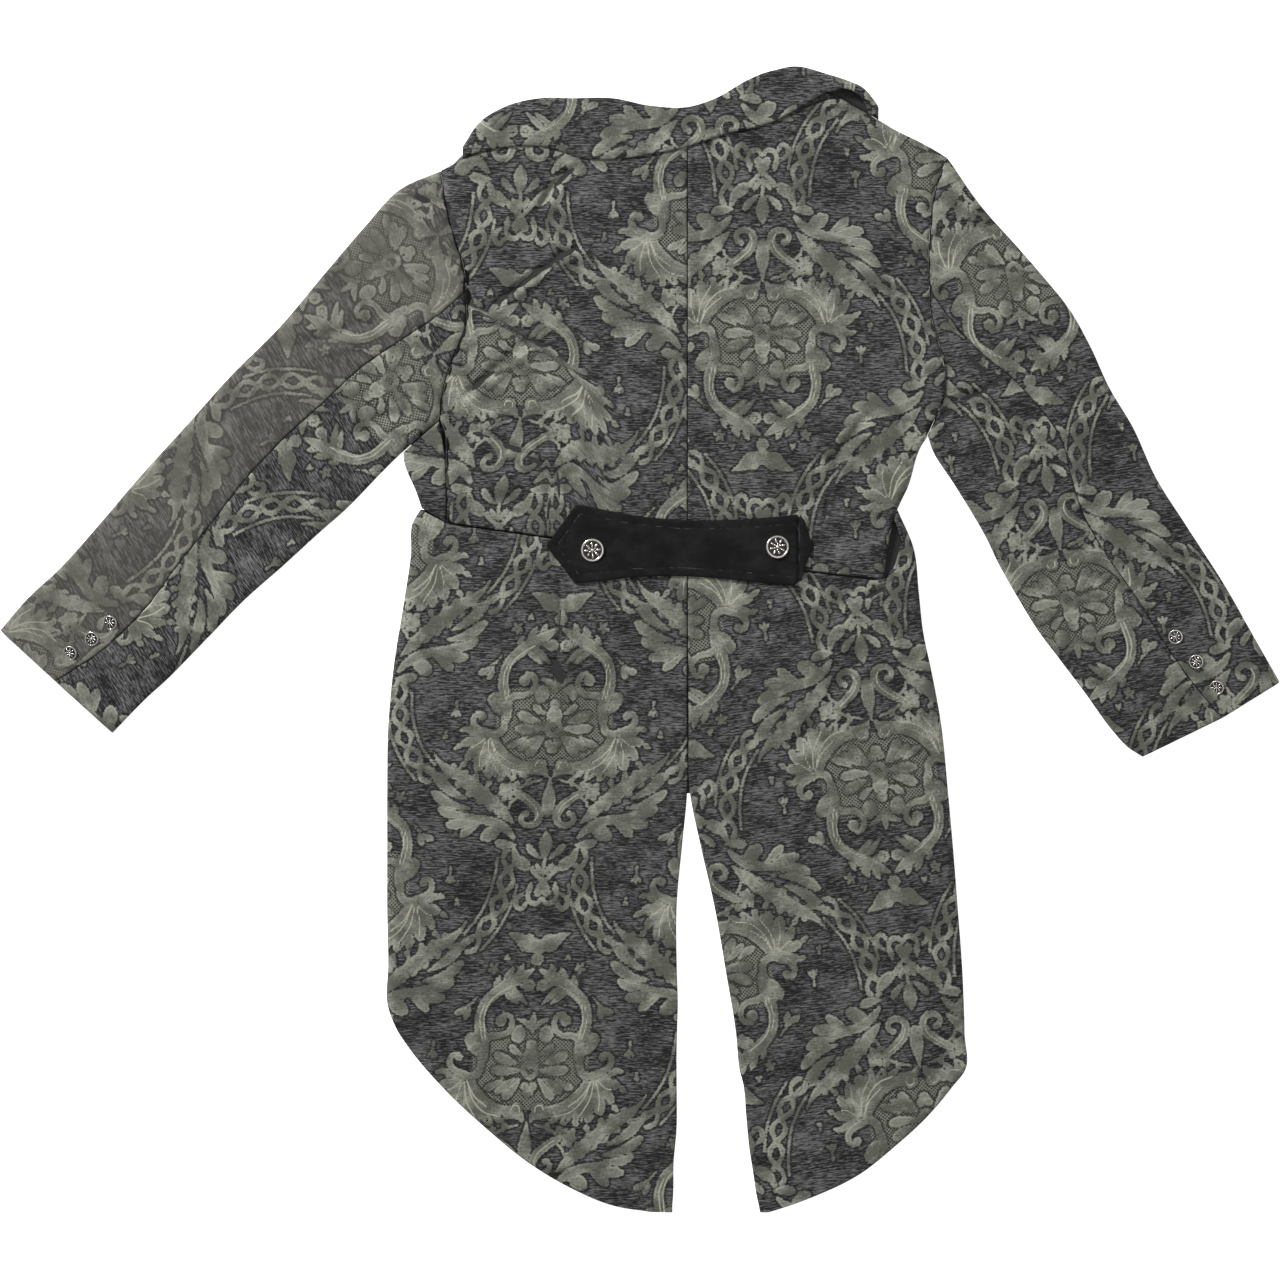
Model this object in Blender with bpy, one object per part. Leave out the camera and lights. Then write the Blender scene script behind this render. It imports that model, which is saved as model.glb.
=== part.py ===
"""A two-tailed frock coat of figured cloth, laid flat on its front with its back uppermost.

X runs towards the wearer's right arm, Y from the tails to the collar, and Z up from the surface the
coat lies on.  Tables and sizes are in millimetres; the solids are written in metres.  Every cloth
piece is one wall: its outer face is a grid of sections, its inner face lies one cloth thickness in.
"""

import math

import bmesh
import bpy

MM = 0.001

# Cloth
CLOTH = 2.6           # shell, interlining and lining pressed together
LAYER = 8.0           # height of the upper layer's outer face where two layers lie
PRESSED = 0.4         # least air between two layers
SEAM = 0.5            # gap between two pieces along a seam
EDGE_SQUEEZE = 12.0   # width of the columns gathered at the edge of a piece with no fold
TURN_UNDER = 6.0      # how far the right back goes on beneath after its fold
COVER_REACH = 25.0    # how far past a hidden edge the upper layer is still at full height
COVER_SLOPE = 50.0    # width over which it then sinks to the surface
FRONT_INSET = 4.0     # how far the hidden fronts stay inside the armholes
FOLD_ENDS = 0.1       # share of its length that a fold runs on past either end
FOLD_FADE = 4.0       # how fast a fold dies away at its ends

# Spans of the walls: across a layer, gathered at a plain edge, and round a fold
BACK_SPANS = 9
FRONT_SPANS = 8
RIGHT_FRONT_SPANS = 10
BACK_EDGE_SPANS = 5
FRONT_EDGE_SPANS = 7
TAIL_EDGE_SPANS = 8
ROUND_SPANS = 4
UNDER_SPANS = 4
HIP_SPANS = (7, 3)    # on the right tail, as far as the hip's knee and on from it

# Neck and shoulders
CENTRE_X = 44.0
NECK_Y = 464.0
WAIST_Y = 77.0
NECK_BOW_LEFT = 24.0
NECK_BOW_RIGHT = 42.0

# Sleeve
FOREARM_SEAM = 0.76   # place of the hidden seam beneath, from the outer fold to the inner one

# Belt and buttons
BELT_CLOTH = 3.0
BELT_CLEARANCE = 0.6
BELT_BUTTON_DIAMETER = 21.5
CUFF_BUTTON_DIAMETER = 13.5
BUTTON_SIDES = 20

# Armholes from the armpit to the shoulder point: x, y
ARMHOLE_LEFT = (
    (-185, 204), (-182, 232), (-174, 258), (-161, 291), (-162, 322),
    (-163, 343), (-171, 370), (-179, 400), (-184, 434),
)
ARMHOLE_RIGHT = (
    (266, 189), (283, 235), (278, 270), (269, 303), (268, 323),
    (267, 350), (269, 385), (274, 419), (284, 446),
)
ARMHOLE_SEAM_POINT = 4   # where the sleeve's hind-arm seam starts on either armhole

# Side seam of the left back and fold of the right back, from the waist to the armpit: x, y
SIDE_LEFT = ((-179, 109), (-179, 138), (-180, 168), (-182, 197))
SIDE_RIGHT = ((227, 56), (232, 91), (239, 122), (248, 142), (260, 179))

# Left front below the armpit: front edge x, y, side fold x, y, side seam x, y
FRONT_LEFT_FOLDED = (
    (-12, 85, -203, 113, -179, 109),
    (-3, 130, -209, 138, -179, 138),
    (-3, 155, -217, 160, -180, 168),
    (-3, 180, -217.5, 173, -182, 197),
)
# Front edges beside each armhole point, down from the armpit's level to the collar: x, y
FRONT_LEFT_EDGE = (
    (-3, 200), (-3, 225), (-3, 250), (-3, 285), (-12, 320),
    (-22, 355), (-33, 400), (-46, 445), (-60, 488),
)
FRONT_RIGHT_EDGE = (
    (3, 205), (3, 235), (3, 260), (3, 285), (15, 320),
    (32, 365), (50, 410), (70, 455), (90, 500),
)
FRONT_RIGHT_LOWER_EDGE = ((3, 82), (3, 110), (3, 138), (3, 160), (3, 185))

# Cutaway edge of the skirts' hidden under layer: y, left x, right x
CUTAWAY = (
    (77, -13, 13),
    (20, -50, 50),
    (-56, -101, 101),
    (-148, -157, 157),
    (-241, -203, 206),
    (-339, -233, 255),
    (-400, -294, 301),
)

# Left tail: vent edge x, y, side fold or hem x, y, cutaway edge x, y (None where one layer lies)
TAIL_LEFT = (
    (43.7, 76.4, -213, 113.0, -13, 84.4),
    (43.7, 50, -214, 80, -26, 56),
    (43.7, 15, -221, 35, -50, 20),
    (43.7, -30, -228, -25, -84, -28),
    (43.7, -80, -233, -80, -116, -80),
    (43.7, -140, -234, -140, -152, -140),
    (39, -190, -234, -190, -178, -190),
    (34, -245, -234, -245, -204, -245),
    (34, -300, -233, -300, -220, -300),
    (35, -339, -233, -339, None, None),
    (34.5, -358, -226, -358, None, None),
    (34, -376, -215, -376, None, None),
    (34, -413, -184, -413, None, None),
    (34, -450, -145, -450, None, None),
    (31, -487, -99, -487, None, None),
    (31, -506, -67, -506, None, None),
    (30, -524, -24, -524, None, None),
    (30, -530, 10, -529.6, None, None),
)

# Right tail: the same columns, with the knee where the waist seam turns up the hip before the fold
TAIL_RIGHT = (
    # vent x, y, knee x, y, fold or hem x, y, cutaway x, y
    (44.3, 76.2, 227.5, 54.6, 241, 119, 13, 79.6),
    (44.3, 48, 228, 32, 258, 45, 26, 50),
    (44.3, 15, 229, 8, 262, 8, 50, 14),
    (44.6, -30, 232, -30, 270, -30, 80, -30),
    (45, -80, 235, -80, 279, -80, 116, -80),
    (46, -140, 240, -140, 285, -140, 152, -140),
    (56, -190, 245, -190, 289.5, -190, 178, -190),
    (69, -247, 248, -247, 294, -247, 210, -247),
    (80, -310, 255, -310, 298.5, -310, 240, -310),
    (89, -365, 258, -365, 300.5, -365, 280, -365),
    (92, -397, 262, -397, 301, -397, None, None),
    (96, -413, 255, -413, 289, -413, None, None),
    (98, -437, 240, -437, 270, -437, None, None),
    (101, -469, 213, -469, 236, -469, None, None),
    (105, -495, 188, -495, 203, -495, None, None),
    (108, -515, 154, -515, 162, -515, None, None),
    (110.5, -526, 129, -526, 132, -526, None, None),
    (111, -530, 118, -530, 119, -530, None, None),
)

# Sleeves below the armhole: outer fold x, y, hind-arm seam x, y, inner fold x, y
SLEEVE_LEFT = (
    (-222, 417, -185, 302, -205, 187),
    (-255, 382, -222, 277, -225, 169),
    (-291, 340, -257, 253, -242, 152),
    (-333, 290, -294, 219, -270, 123),
    (-379, 244, -330, 186, -297, 99),
    (-421, 197, -365, 149, -331, 68),
    (-462, 152, -395, 110, -366, 37),
    (-502, 105, -426, 72, -400, 2),
    (-535, 68, -458, 29, -434, -33),
    (-568, 37, -500, -11, -460, -57),
    (-592, 9, -541, -38, -488, -86),
)
SLEEVE_RIGHT = (
    (316, 401, 298, 284, 274, 169),
    (349, 364, 324, 259, 292, 142),
    (375, 334, 346, 241, 308, 116),
    (396, 308, 369, 216, 320, 95),
    (417, 271, 389, 188, 333, 68),
    (434, 234, 399, 152, 349, 40),
    (456, 197, 409, 119, 366, 12),
    (477, 151, 431, 80, 386, -15),
    (506, 105, 459, 40, 411, -48),
    (542, 49, 491, -11, 434, -80),
    (568, 3, 515, -44, 450, -98),
    (592, -39, 539, -72, 465, -108),
)

# Collar stations from left to right: roll x, y, fall's edge x, y, and how far the fall stands off
COLLAR = (
    (-164, 456, -164, 446, 0),
    (-148, 479, -144, 452, 0),
    (-125, 493, -118, 456, 0),
    (-92, 501, -85, 455, 0),
    (-60, 501, -56, 446, 0),
    (-26, 501, -26, 444, 0),
    (10, 494, 10, 449, 0),
    (45, 493, 43, 456, 0),
    (70, 501, 77, 467, 0),
    (98, 517, 115, 476, 0),
    (125, 527, 148, 492, 1),
    (148, 530, 172, 504, 3),
    (176, 522, 190, 506, 6),
    (204, 512, 206, 499, 7),
    (219, 495, 215, 487, 4),
)

# Belt stations from left tip to right tip: upper edge x, y, lower edge x, y
BELT = (
    (-85, 93, -85, 89),
    (-59, 126, -62, 53),
    (-39, 122, -39, 54),
    (-4, 115, -4, 58),
    (37, 111, 37, 59),
    (82, 111, 82, 56),
    (116, 113, 116, 52),
    (147, 116, 146, 51),
    (159, 89, 159, 86),
)

BELT_BUTTONS = {"belt_button_left": (-44, 83), "belt_button_right": (127, 86)}
CUFF_BUTTONS = {
    "cuff_button_left_1": (-490, 16),
    "cuff_button_left_2": (-507, 1),
    "cuff_button_left_3": (-527, -12),
    "cuff_button_right_1": (495, 3),
    "cuff_button_right_2": (514, -20),
    "cuff_button_right_3": (533, -44),
}

# Largest folds of the upper layer: start x, y, end x, y, half width, height (a trough below zero)
FOLDS = (
    (-52, 441, -99, 386, 11, -1.8),
    (-52, 366, -160, 291, 12, -2.0),
    (-96, 282, -180, 208, 12, -1.8),
    (-185, 199, -74, 148, 11, -1.6),
    (-120, 250, -60, 205, 16, 1.5),
    (216, 216, 159, 120, 15, -1.8),
    (246, 150, 226, 66, 14, 2.4),
    (211, 5, 139, -103, 17, -1.6),
    (-190, 316, -312, 272, 14, -2.0),
    (-205, 345, -290, 318, 16, 1.8),
    (-230, 240, -330, 150, 16, 1.6),
    (292, 275, 331, 233, 11, -2.0),
    (286, 224, 340, 243, 11, 1.8),
    (330, 330, 372, 262, 14, 1.6),
)

# Height of a button's outside over its foot, from the rim to the centre: radius share, height in mm
BUTTON_PROFILE = ((0.80, 0.0), (1.00, 1.2), (1.00, 2.2), (0.90, 3.0), (0.78, 2.5), (0.55, 3.4), (0.0, 4.0))


def mix(a, b, t):
    return a + (b - a) * t


def mix_point(a, b, t):
    return (mix(a[0], b[0], t), mix(a[1], b[1], t))


def smooth(t):
    t = min(1.0, max(0.0, t))
    return t * t * (3 - 2 * t)


def pull_back(path, distance):
    """The path with its last point drawn back towards the one before it."""
    before, last = path[-2], path[-1]
    length = math.dist(before, last)
    return path[:-1] + [mix_point(last, before, min(distance / length, 0.9))]


def spread(path, parts):
    """Points that part a path in equal lengths, its ends among them."""
    lengths = [math.dist(a, b) for a, b in zip(path, path[1:])]
    step = sum(lengths) / parts
    points, leg, walked = [path[0]], 0, 0.0
    for k in range(1, parts):
        while leg < len(lengths) - 1 and walked + lengths[leg] < k * step:
            walked += lengths[leg]
            leg += 1
        points.append(mix_point(path[leg], path[leg + 1], (k * step - walked) / lengths[leg]))
    return points + [path[-1]]


def stretch_of(path, start, end):
    """The stretch of a path between two shares of its length, run backwards if end is before start."""
    low, high = min(start, end), max(start, end)
    total = sum(math.dist(a, b) for a, b in zip(path, path[1:]))
    points, walked = [], 0.0
    for a, b in zip(path, path[1:]):
        length = math.dist(a, b)
        first, last = walked / total, (walked + length) / total
        if first <= low < last:
            points.append(mix_point(a, b, (low - first) / (last - first)))
        if low < last < high:
            points.append(b)
        if first < high <= last + 1e-9:
            points.append(mix_point(a, b, min(1.0, (high - first) / (last - first))))
            break
        walked += length
    return points if start < end else points[::-1]


def cutaway_edges(y):
    """Left and right x of the hidden under layer's front edges at a level."""
    for upper, lower in zip(CUTAWAY, CUTAWAY[1:]):
        if y >= lower[0]:
            t = (upper[0] - min(y, upper[0])) / (upper[0] - lower[0])
            return mix(upper[1], lower[1], t), mix(upper[2], lower[2], t)
    beyond = CUTAWAY[-1][0] - y
    return CUTAWAY[-1][1] - beyond, CUTAWAY[-1][2] + beyond


def cover(x, y):
    """1 where an under layer lies beneath, falling to 0 where the upper layer lies on the surface."""
    left, right = cutaway_edges(y)
    outside = min(x - left, right - x)
    return 1.0 - smooth((outside - COVER_REACH) / COVER_SLOPE)


def fold_height(x, y):
    total = 0.0
    for x0, y0, x1, y1, half_width, height in FOLDS:
        along = ((x - x0) * (x1 - x0) + (y - y0) * (y1 - y0)) / ((x1 - x0) ** 2 + (y1 - y0) ** 2)
        off = math.dist((x, y), (mix(x0, x1, along), mix(y0, y1, along)))
        ends = smooth(FOLD_FADE * (along + FOLD_ENDS)) * smooth(FOLD_FADE * (1 + FOLD_ENDS - along))
        total += height * ends * math.exp(-((off / half_width) ** 2))
    return total


def lay_height(x, y):
    """Height of the upper layer's outer face over the surface."""
    covered = cover(x, y)
    lowest = CLOTH + covered * (CLOTH + PRESSED)
    return max(lowest, mix(CLOTH, LAYER, covered) + fold_height(x, y))


def neck_line(x):
    """The backs' upper edge: neck and shoulder in one curve."""
    if x < CENTRE_X:
        tip, bow = ARMHOLE_LEFT[-1], NECK_BOW_LEFT
    else:
        tip, bow = ARMHOLE_RIGHT[-1], NECK_BOW_RIGHT
    u = (x - CENTRE_X) / (tip[0] - CENTRE_X)
    return mix(NECK_Y, tip[1], u) + 4 * bow * u * (1 - u)


def upper_point(x, y, rise=0.0):
    z = lay_height(x, y) + rise
    return (x, y, z), (x, y, z - CLOTH)


def lower_point(x, y, base=0.0):
    return (x, y, base), (x, y, base + CLOTH)


def flat_section(path, columns, edge_columns, upper):
    """One layer: even columns, then the fold's columns gathered at the edge."""
    width = math.dist(path[0], path[-1])
    squeeze = min(EDGE_SQUEEZE, 0.4 * width)
    inner = pull_back(path, squeeze)
    points = spread(inner, columns)
    points += [mix_point(inner[-1], path[-1], k / edge_columns) for k in range(1, edge_columns + 1)]
    place = upper_point if upper else lower_point
    return [place(*point) for point in points]


def folded_section(near, far, columns, upper_first=True, rise=0.0, base=0.0,
                   near_points=None, far_points=None):
    """A wall folded round an edge: near runs to the fold, far goes back from it on the other side.

    columns holds how many spans lie on near, round the fold and on far.  Points given for near or
    far are kept as they are, but for the one at the fold.
    """
    near_columns, round_columns, far_columns = columns
    fold = near[-1]
    top = lay_height(*fold) + rise
    radius = (top - base) / 2
    near = pull_back(near, radius)
    centre = near[-1]
    run = math.dist(centre, fold)
    out = ((fold[0] - centre[0]) / run, (fold[1] - centre[1]) / run)

    def side(point, upper, at_fold):
        if not upper:
            return lower_point(*point, base)
        outer, inner = upper_point(*point, rise)
        if at_fold:
            return (*point, top), (*point, top - CLOTH)
        return outer, inner

    plan = near_points[:-1] + [centre] if near_points else spread(near, near_columns)
    pairs = [side(p, upper_first, k == len(plan) - 1) for k, p in enumerate(plan)]
    turn = 1 if upper_first else -1
    for k in range(1, round_columns):
        angle = turn * (math.pi / 2 - math.pi * k / round_columns)
        pairs.append(tuple(
            (centre[0] + out[0] * r * math.cos(angle), centre[1] + out[1] * r * math.cos(angle),
             base + radius + r * math.sin(angle))
            for r in (radius, radius - CLOTH)
        ))
    back = [centre] + far_points[1:] if far_points else spread([centre] + far[1:], far_columns)
    pairs += [side(p, not upper_first, k == 0) for k, p in enumerate(back)]
    return pairs


def make_material(name, colour, roughness, metallic=0.0):
    material = bpy.data.materials.new(name)
    material.use_nodes = True
    shader = material.node_tree.nodes["Principled BSDF"]
    shader.inputs["Base Color"].default_value = (*colour, 1.0)
    shader.inputs["Roughness"].default_value = roughness
    shader.inputs["Metallic"].default_value = metallic
    material.diffuse_color = (*colour, 1.0)
    return material


def add_object(name, mesh, material):
    item = bpy.data.objects.new(name, mesh)
    bpy.context.scene.collection.objects.link(item)
    mesh.materials.append(material)
    mesh.shade_smooth()
    mesh.set_sharp_from_angle(angle=math.radians(40))
    return item


def wall(name, sections, material):
    """A closed wall from rows of (outer, inner) points."""
    mesh = bpy.data.meshes.new(name)
    shape = bmesh.new()
    sheets = [
        [[shape.verts.new([c * MM for c in pair[side]]) for pair in section] for section in sections]
        for side in (0, 1)
    ]
    outer, inner = sheets
    rows, columns = len(sections), len(sections[0])
    for r in range(rows - 1):
        for c in range(columns - 1):
            shape.faces.new((outer[r][c], outer[r][c + 1], outer[r + 1][c + 1], outer[r + 1][c]))
            shape.faces.new((inner[r][c], inner[r + 1][c], inner[r + 1][c + 1], inner[r][c + 1]))
    for r in range(rows - 1):
        for c, flip in ((0, False), (columns - 1, True)):
            ring = (outer[r][c], outer[r + 1][c], inner[r + 1][c], inner[r][c])
            shape.faces.new(ring[::-1] if flip else ring)
    for c in range(columns - 1):
        for r, flip in ((0, True), (rows - 1, False)):
            ring = (outer[r][c], outer[r][c + 1], inner[r][c + 1], inner[r][c])
            shape.faces.new(ring[::-1] if flip else ring)
    bmesh.ops.recalc_face_normals(shape, faces=shape.faces)
    bmesh.ops.triangulate(shape, faces=shape.faces)
    shape.to_mesh(mesh)
    shape.free()
    return add_object(name, mesh, material)


def back_rows(side_points, armhole, seam_x, bow):
    """Rows of a back from the waist up: centre seam point, outer point, and how far the row bows."""
    outline = list(side_points) + list(armhole)
    foot, tip = outline[0][1], outline[-1][1]
    rows = []
    for point in outline:
        share = (point[1] - foot) / (tip - foot)
        start = (seam_x, mix(WAIST_Y, NECK_Y, share))
        rows.append((start, point, bow * smooth((share - 0.55) / 0.45)))
    return rows


def bowed(start, end, bow, parts=10):
    """A path from start to end that rises in the middle."""
    points = []
    for k in range(parts + 1):
        x, y = mix_point(start, end, k / parts)
        points.append((x, y + 4 * bow * (k / parts) * (1 - k / parts)))
    return points


def make_back_left(material):
    sections = []
    for start, end, bow in back_rows(SIDE_LEFT, ARMHOLE_LEFT, CENTRE_X - SEAM / 2, NECK_BOW_LEFT):
        points = spread(bowed(start, end, bow), BACK_SPANS)
        sections.append([upper_point(*point) for point in points])
    wall("back_left", sections, material)


def make_back_right(material):
    sections = []
    rows = back_rows(SIDE_RIGHT, ARMHOLE_RIGHT, CENTRE_X + SEAM / 2, NECK_BOW_RIGHT)
    for k, (start, end, bow) in enumerate(rows):
        if k < len(SIDE_RIGHT):
            length = math.dist(start, end)
            beneath = mix_point(end, start, (LAYER / 2 + TURN_UNDER) / length)
            sections.append(folded_section([start, end], [end, beneath], (BACK_SPANS, ROUND_SPANS, 1)))
        else:
            sections.append(flat_section(bowed(start, end, bow), BACK_SPANS, BACK_EDGE_SPANS, upper=True))
    wall("back_right", sections, material)


def make_front_left(material):
    sections = []
    for edge_x, edge_y, fold_x, fold_y, seam_x, seam_y in FRONT_LEFT_FOLDED:
        near = [(edge_x, edge_y), (fold_x, fold_y)]
        far = [(fold_x, fold_y), (seam_x - SEAM, seam_y)]
        sections.append(folded_section(near, far, (FRONT_SPANS, ROUND_SPANS, 3), upper_first=False))
    for k, (edge, (x, y)) in enumerate(zip(FRONT_LEFT_EDGE, ARMHOLE_LEFT)):
        end = (x + (FRONT_INSET if k else 1.5), y - 1)
        bow = 20.0 * smooth((k - 5) / 3)
        sections.append(flat_section(bowed(edge, end, bow), FRONT_SPANS, FRONT_EDGE_SPANS, upper=False))
    wall("front_left", sections, material)


def make_front_right(material):
    sections = []
    for edge, (x, y) in zip(FRONT_RIGHT_LOWER_EDGE, SIDE_RIGHT):
        end = (x - LAYER / 2 - TURN_UNDER - 2, y + 1)
        sections.append(flat_section([edge, end], RIGHT_FRONT_SPANS, 1, upper=False))
    for k, (edge, (x, y)) in enumerate(zip(FRONT_RIGHT_EDGE, ARMHOLE_RIGHT)):
        end = (x - (FRONT_INSET if k else 9), y - 1)
        bow = 40.0 * smooth((k - 4) / 4)
        sections.append(flat_section(bowed(edge, end, bow), RIGHT_FRONT_SPANS, 1, upper=False))
    wall("front_right", sections, material)


def make_skirt_left(material):
    sections = []
    for start_x, start_y, fold_x, fold_y, cut_x, cut_y in TAIL_LEFT:
        near = [(start_x, start_y), (fold_x, fold_y)]
        if cut_x is None:
            sections.append(flat_section(near, BACK_SPANS, TAIL_EDGE_SPANS, upper=True))
        else:
            far = [near[1], (cut_x, cut_y)]
            sections.append(folded_section(near, far, (BACK_SPANS, ROUND_SPANS, UNDER_SPANS)))
    wall("skirt_left", sections, material)


def make_skirt_right(material):
    sections = []
    for start_x, start_y, knee_x, knee_y, fold_x, fold_y, cut_x, cut_y in TAIL_RIGHT:
        start, knee, fold = (start_x, start_y), (knee_x, knee_y), (fold_x, fold_y)
        near_points = spread([start, knee], HIP_SPANS[0]) + spread([knee, fold], HIP_SPANS[1])[1:]
        if cut_x is None:
            sections.append(flat_section([start, fold], sum(HIP_SPANS), TAIL_EDGE_SPANS, upper=True))
            continue
        beneath = spread([fold, (cut_x, cut_y)], UNDER_SPANS)
        if not sections:
            beneath = [fold] + spread([knee, (cut_x, cut_y)], 3)
        near = [start, knee, fold]
        spans = (sum(HIP_SPANS), ROUND_SPANS, UNDER_SPANS)
        sections.append(folded_section(near, beneath, spans, near_points=near_points, far_points=beneath))
    wall("skirt_right", sections, material)


def make_sleeve(side, armhole, table, outward, material):
    """Top sleeve and under sleeve: a flattened tube cut along the hind-arm and forearm seams."""
    shifted = [(x + outward * SEAM, y) for x, y in armhole]
    above = shifted[ARMHOLE_SEAM_POINT:]
    below = shifted[:ARMHOLE_SEAM_POINT + 1][::-1]
    rings = [(above[::-1] + below[1:], above, below)]
    for outer_x, outer_y, seam_x, seam_y, inner_x, inner_y in table:
        seam = (seam_x, seam_y)
        outer, inner = (outer_x, outer_y), (inner_x, inner_y)
        rings.append(([outer, seam, inner], spread([seam, outer], 4), spread([seam, inner], 4)))
    top_rows, under_rows = [], []
    for ring, to_outer, to_inner in rings:
        gap = SEAM / sum(math.dist(a, b) for a, b in zip(ring, ring[1:]))
        beneath_top = stretch_of(ring, 0.0, FOREARM_SEAM)
        beneath_under = stretch_of(ring, 1.0, FOREARM_SEAM + gap)
        top_rows.append(folded_section(to_outer, beneath_top, (4, 4, 5), near_points=to_outer))
        start = mix_point(to_inner[0], to_inner[1], SEAM / math.dist(to_inner[0], to_inner[1]))
        to_inner = [start] + to_inner[1:]
        under_rows.append(folded_section(to_inner, beneath_under, (4, 4, 2), near_points=to_inner))
    wall(f"sleeve_{side}_top", top_rows, material)
    wall(f"sleeve_{side}_under", under_rows, material)


def make_collar(material):
    """The fall lies on the backs, rolls over at the top and goes down behind itself to the neck seam."""
    sections = []
    for roll_x, roll_y, edge_x, edge_y, lift in COLLAR:
        near = [(edge_x, edge_y), (roll_x, roll_y)]
        far = [(roll_x, roll_y), (roll_x, neck_line(roll_x) + SEAM)]
        rise = CLOTH + PRESSED + lift
        sections.append(folded_section(near, far, (4, 5, 3), rise=rise, base=LAYER - CLOTH))
    wall("collar", sections, material)


def make_belt(material):
    sections = []
    for upper_x, upper_y, lower_x, lower_y in BELT:
        row = []
        for x, y in spread([(lower_x, lower_y), (upper_x, upper_y)], 4):
            foot = lay_height(x, y) + BELT_CLEARANCE
            row.append(((x, y, foot + BELT_CLOTH), (x, y, foot)))
        sections.append(row)
    wall("belt", sections, material)


def make_button(name, x, y, foot, diameter, material):
    """A domed button with a raised rim, turned from its profile."""
    mesh = bpy.data.meshes.new(name)
    shape = bmesh.new()
    scale = diameter / BELT_BUTTON_DIAMETER
    rings = []
    for share, height in BUTTON_PROFILE[:-1]:
        radius = share * diameter / 2
        ring = []
        for k in range(BUTTON_SIDES):
            turn = 2 * math.pi * k / BUTTON_SIDES
            place = (x + radius * math.cos(turn), y + radius * math.sin(turn), foot + height * scale)
            ring.append(shape.verts.new([c * MM for c in place]))
        rings.append(ring)
    crown = shape.verts.new((x * MM, y * MM, (foot + BUTTON_PROFILE[-1][1] * scale) * MM))
    shape.faces.new(rings[0][::-1])
    for k in range(BUTTON_SIDES):
        after = (k + 1) % BUTTON_SIDES
        for low, high in zip(rings, rings[1:]):
            shape.faces.new((low[k], low[after], high[after], high[k]))
        shape.faces.new((rings[-1][k], rings[-1][after], crown))
    bmesh.ops.triangulate(shape, faces=shape.faces)
    shape.to_mesh(mesh)
    shape.free()
    add_object(name, mesh, material)


def main():
    for item in list(bpy.data.objects):
        bpy.data.objects.remove(item, do_unlink=True)
    coat_cloth = make_material("coat_cloth", (0.105, 0.105, 0.098), 0.85)
    belt_cloth = make_material("belt_cloth", (0.016, 0.016, 0.017), 0.9)
    button_metal = make_material("button_metal", (0.72, 0.71, 0.69), 0.3, 1.0)
    make_back_left(coat_cloth)
    make_back_right(coat_cloth)
    make_front_left(coat_cloth)
    make_front_right(coat_cloth)
    make_skirt_left(coat_cloth)
    make_skirt_right(coat_cloth)
    make_sleeve("left", ARMHOLE_LEFT, SLEEVE_LEFT, -1, coat_cloth)
    make_sleeve("right", ARMHOLE_RIGHT, SLEEVE_RIGHT, 1, coat_cloth)
    make_collar(coat_cloth)
    make_belt(belt_cloth)
    for name, (x, y) in BELT_BUTTONS.items():
        foot = lay_height(x, y) + BELT_CLEARANCE + BELT_CLOTH + SEAM
        make_button(name, x, y, foot, BELT_BUTTON_DIAMETER, button_metal)
    for name, (x, y) in CUFF_BUTTONS.items():
        make_button(name, x, y, lay_height(x, y) + SEAM, CUFF_BUTTON_DIAMETER, button_metal)


main()
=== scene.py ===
import math

import bpy
import numpy as np
from mathutils import Euler, Matrix


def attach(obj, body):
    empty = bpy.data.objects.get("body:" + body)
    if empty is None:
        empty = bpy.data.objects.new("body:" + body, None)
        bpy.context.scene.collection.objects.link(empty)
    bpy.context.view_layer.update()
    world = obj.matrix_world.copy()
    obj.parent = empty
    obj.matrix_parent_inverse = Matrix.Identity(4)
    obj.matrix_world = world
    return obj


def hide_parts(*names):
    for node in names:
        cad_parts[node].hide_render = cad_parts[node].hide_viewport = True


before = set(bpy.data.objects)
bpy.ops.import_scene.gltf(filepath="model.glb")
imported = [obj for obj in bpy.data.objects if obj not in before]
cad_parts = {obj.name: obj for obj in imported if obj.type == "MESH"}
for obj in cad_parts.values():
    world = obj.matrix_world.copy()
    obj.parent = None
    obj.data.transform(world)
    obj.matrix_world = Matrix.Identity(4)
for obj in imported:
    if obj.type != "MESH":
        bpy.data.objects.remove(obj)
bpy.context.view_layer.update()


# ---------------------------------------------------------------------------------------------
# Studio: a near-white light table under the laid-out coat, a camera straight above it, and soft light
# from large lamps, one of them lower so that creases throw a little shade.
# ---------------------------------------------------------------------------------------------

MM = 0.001
VIEW_WIDTH = 1.1856
CAMERA_HEIGHT = 4.0
SENSOR = 36.0
FLOOR_DROP = 0.4        # the table lies just clear of the cards
CARD_DROP = 0.18        # the first card lies this far under the coat
CARD_STEP = 0.02        # and each next one lower, so that no two share a plane

camera_data = bpy.data.cameras.new("camera")
camera_data.sensor_width = SENSOR
camera_data.lens = SENSOR * CAMERA_HEIGHT / VIEW_WIDTH
camera_data.clip_end = 50.0
camera = bpy.data.objects.new("camera", camera_data)
camera.location = (0.0, 0.0, CAMERA_HEIGHT)
bpy.context.scene.collection.objects.link(camera)
bpy.context.scene.camera = camera


def linear(code, alpha=1.0):
    """An sRGB hex colour as linear light."""
    parts = [int(code[k:k + 2], 16) / 255 for k in (1, 3, 5)]
    return tuple(c / 12.92 if c <= 0.04045 else ((c + 0.055) / 1.055) ** 2.4 for c in parts) + (alpha,)


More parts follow.
